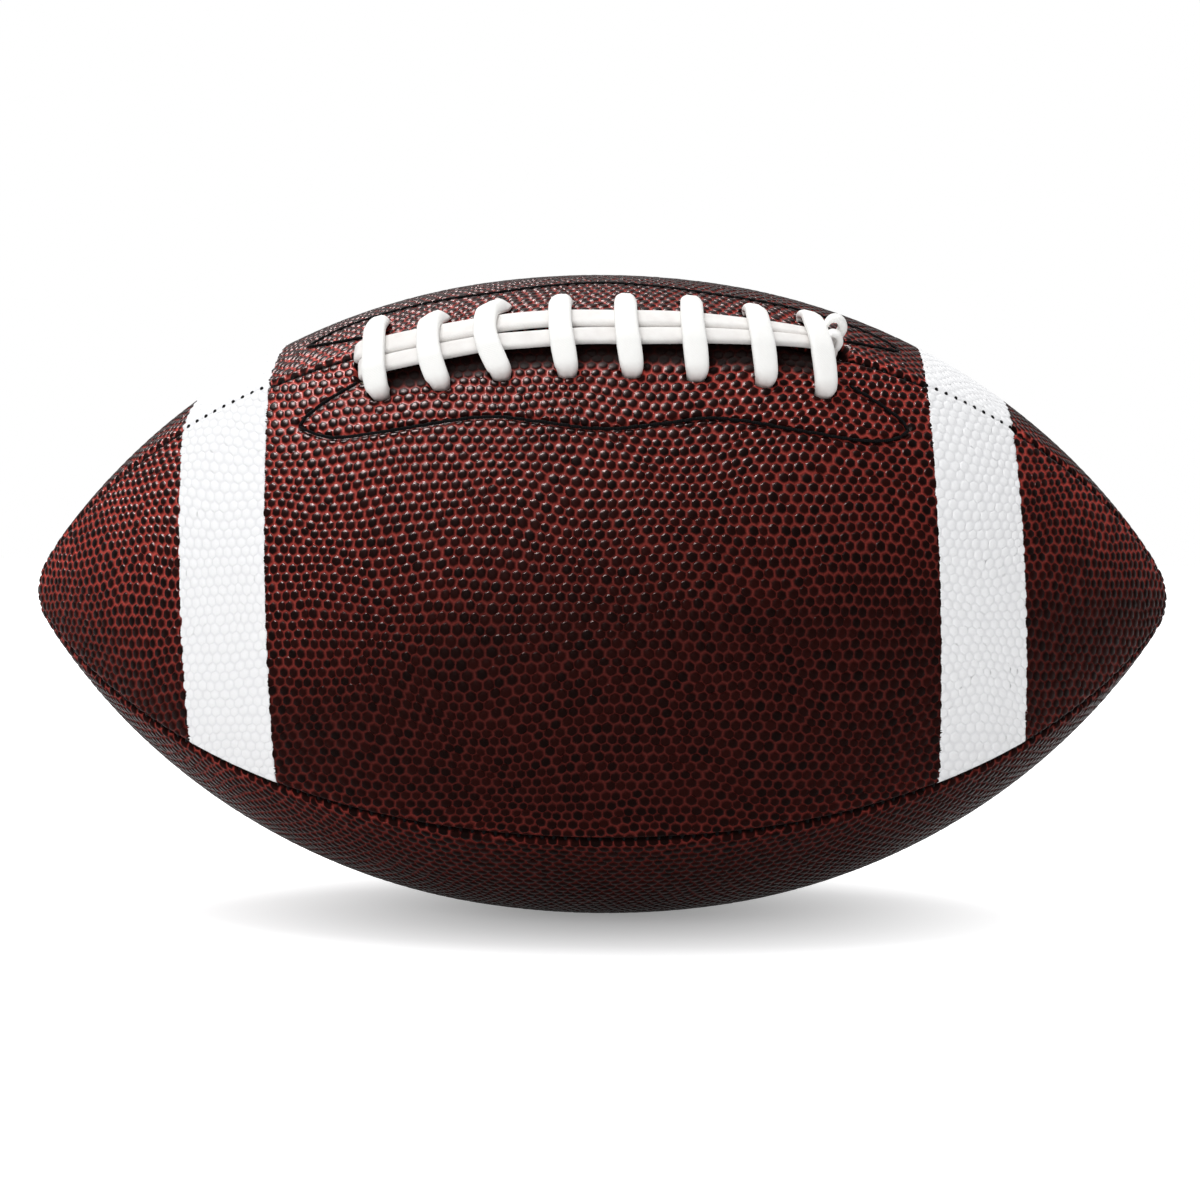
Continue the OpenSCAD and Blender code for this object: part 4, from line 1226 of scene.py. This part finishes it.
def dress_inner(name, low, high, scale, rough, pieces):
    """A plain woven or rubbery finish for pieces that lie inside the ball."""
    g = Surface(name)
    g.set(g.mix(g.noise(scale), low, high), rough)
    g.bump(g.noise(scale * 6, 2.0), strength=0.3, distance=0.0001)
    for piece in pieces:
        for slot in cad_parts[piece].material_slots:
            slot.material = g.material


# Pieces that the gloss lamp lights
glossed = bpy.data.collections.new("glossed")
leather = leather_material()
film = film_material()
thread = thread_material()

for panel_name in PANEL_TURNS:
    build_panel(panel_name, leather, film)

thread_rng = np.random.default_rng(THREAD_SEED)
SEAM_END = HALF_ARC - TIP_PLAIN
SLIT_ARC = float(arc_at(WINDOW_X + THREAD_START))
for seam_word, seam_turn, seam_low, seam_high in (
        ("lace_seam_left", 0.0, -SEAM_END, -SLIT_ARC),
        ("lace_seam_right", 0.0, SLIT_ARC, SEAM_END),
        ("front_seam", 90.0, -SEAM_END, SEAM_END),
        ("rear_seam", -90.0, -SEAM_END, SEAM_END),
        ("belly_seam", 180.0, -SEAM_END, SEAM_END)):
    build_seam_thread(seam_word, seam_turn, seam_low, seam_high, thread, thread_rng)
for line_ending in ("front", "rear"):
    build_line_thread(line_ending, thread, thread_rng)
build_lace(lace_material())

for finish in INNER_FINISHES:
    dress_inner(*finish)


# Stage, light and camera

CAMERA_DISTANCE = 720.0
CAMERA_ELEVATION = 2.3
CAMERA_ROLL = 0.43
LENS = 85.6
SENSOR = 36.0
AIM_X = -0.58
AIM_Z = -1.39
FLOOR_HALF = 3.0
FLOOR_GREY = (0.8, 0.8, 0.8)
# Stretched distances in metres between which the floor's glow grows, and the least glow
GLOW_RANGE = (0.0, 0.15)
GLOW_STRETCH = (0.95, 1.12, 0.0)
NEAR_GLOW = 0.27
WHITE = (1.0, 1.0, 1.0)
SKY = (0.42, 0.425, 0.435)
# Name, place in metres, size and power of each lamp. The last one lights only gloss
LAMPS = (("key", (-0.05, 0.55, 1.3), 1.2, 7.7),
         ("overhead", (-0.25, -0.15, 1.5), 1.0, 9.0),
         ("front_fill", (-0.55, -1.7, 0.2), 1.4, 15.2),
         ("shine", (-0.6, -0.15, 1.38), 0.8, 560.0))


def build_stage():
    """A pale floor. Seen by the camera it pales to plain white away from the ball."""
    mesh = bpy.data.meshes.new("floor")
    mesh.from_pydata([(x * FLOOR_HALF, y * FLOOR_HALF, -FLAT_R * MM)
                      for x, y in ((-1, -1), (1, -1), (1, 1), (-1, 1))], [], [(0, 1, 2, 3)])
    g = Surface("pale_floor")
    g.set(FLOOR_GREY, roughness=0.9, specular=0.0)
    stretch = g.add("VectorMath", [(0, g.place())], operation="MULTIPLY")
    stretch.inputs[1].default_value = GLOW_STRETCH
    distance = g.add("VectorMath", [(0, stretch.outputs["Vector"])], operation="LENGTH")
    low, high = GLOW_RANGE
    spread = g.add("MapRange", (("From Min", low), ("From Max", high), ("To Min", NEAR_GLOW),
                                ("To Max", 1.0), ("Value", distance.outputs["Value"])),
                   interpolation_type="SMOOTHSTEP")
    glow = g.math("MULTIPLY", g.background_rays(), spread.outputs["Result"])
    g.put(g.inputs["Emission Strength"], glow)
    g.put(g.inputs["Emission Color"], WHITE)
    mesh.materials.append(g.material)
    add_object("floor", mesh)


def build_world():
    world = bpy.data.worlds.new("studio")
    bpy.context.scene.world = world
    world.use_nodes = True
    g = Graph(world.node_tree)
    g.put(g.nodes["Background"].inputs["Color"], g.mix(g.background_rays(), SKY, WHITE))


def aim(thing, place, target, roll=0.0):
    forward = (Vector(target) - Vector(place)).normalized()
    turn = forward.to_track_quat("-Z", "Y").to_matrix().to_4x4()
    thing.matrix_world = (Matrix.Translation(place) @ turn
                          @ Matrix.Rotation(math.radians(roll), 4, "Z"))


def area_light(name, place, size, power):
    light = bpy.data.lights.new(name, "AREA")
    light.shape = "DISK"
    light.size = size
    light.energy = power
    lamp = add_object(name, light)
    aim(lamp, place, (0.0, 0.0, 0.0))
    return lamp


def build_camera():
    camera = bpy.data.cameras.new("camera")
    camera.lens = LENS
    camera.sensor_width = SENSOR
    camera.sensor_fit = "HORIZONTAL"
    rig = add_object("camera", camera)
    lift = math.radians(CAMERA_ELEVATION)
    reach = CAMERA_DISTANCE * MM
    aim(rig, (0.0, -reach * math.cos(lift), reach * math.sin(lift)),
        (AIM_X * MM, 0.0, AIM_Z * MM), CAMERA_ROLL)
    bpy.context.scene.camera = rig


build_stage()
build_world()
shine = [area_light(*lamp) for lamp in LAMPS][-1]
shine.visible_diffuse = False
shine.light_linking.receiver_collection = glossed
build_camera()
bpy.context.scene.view_settings.view_transform = "Standard"
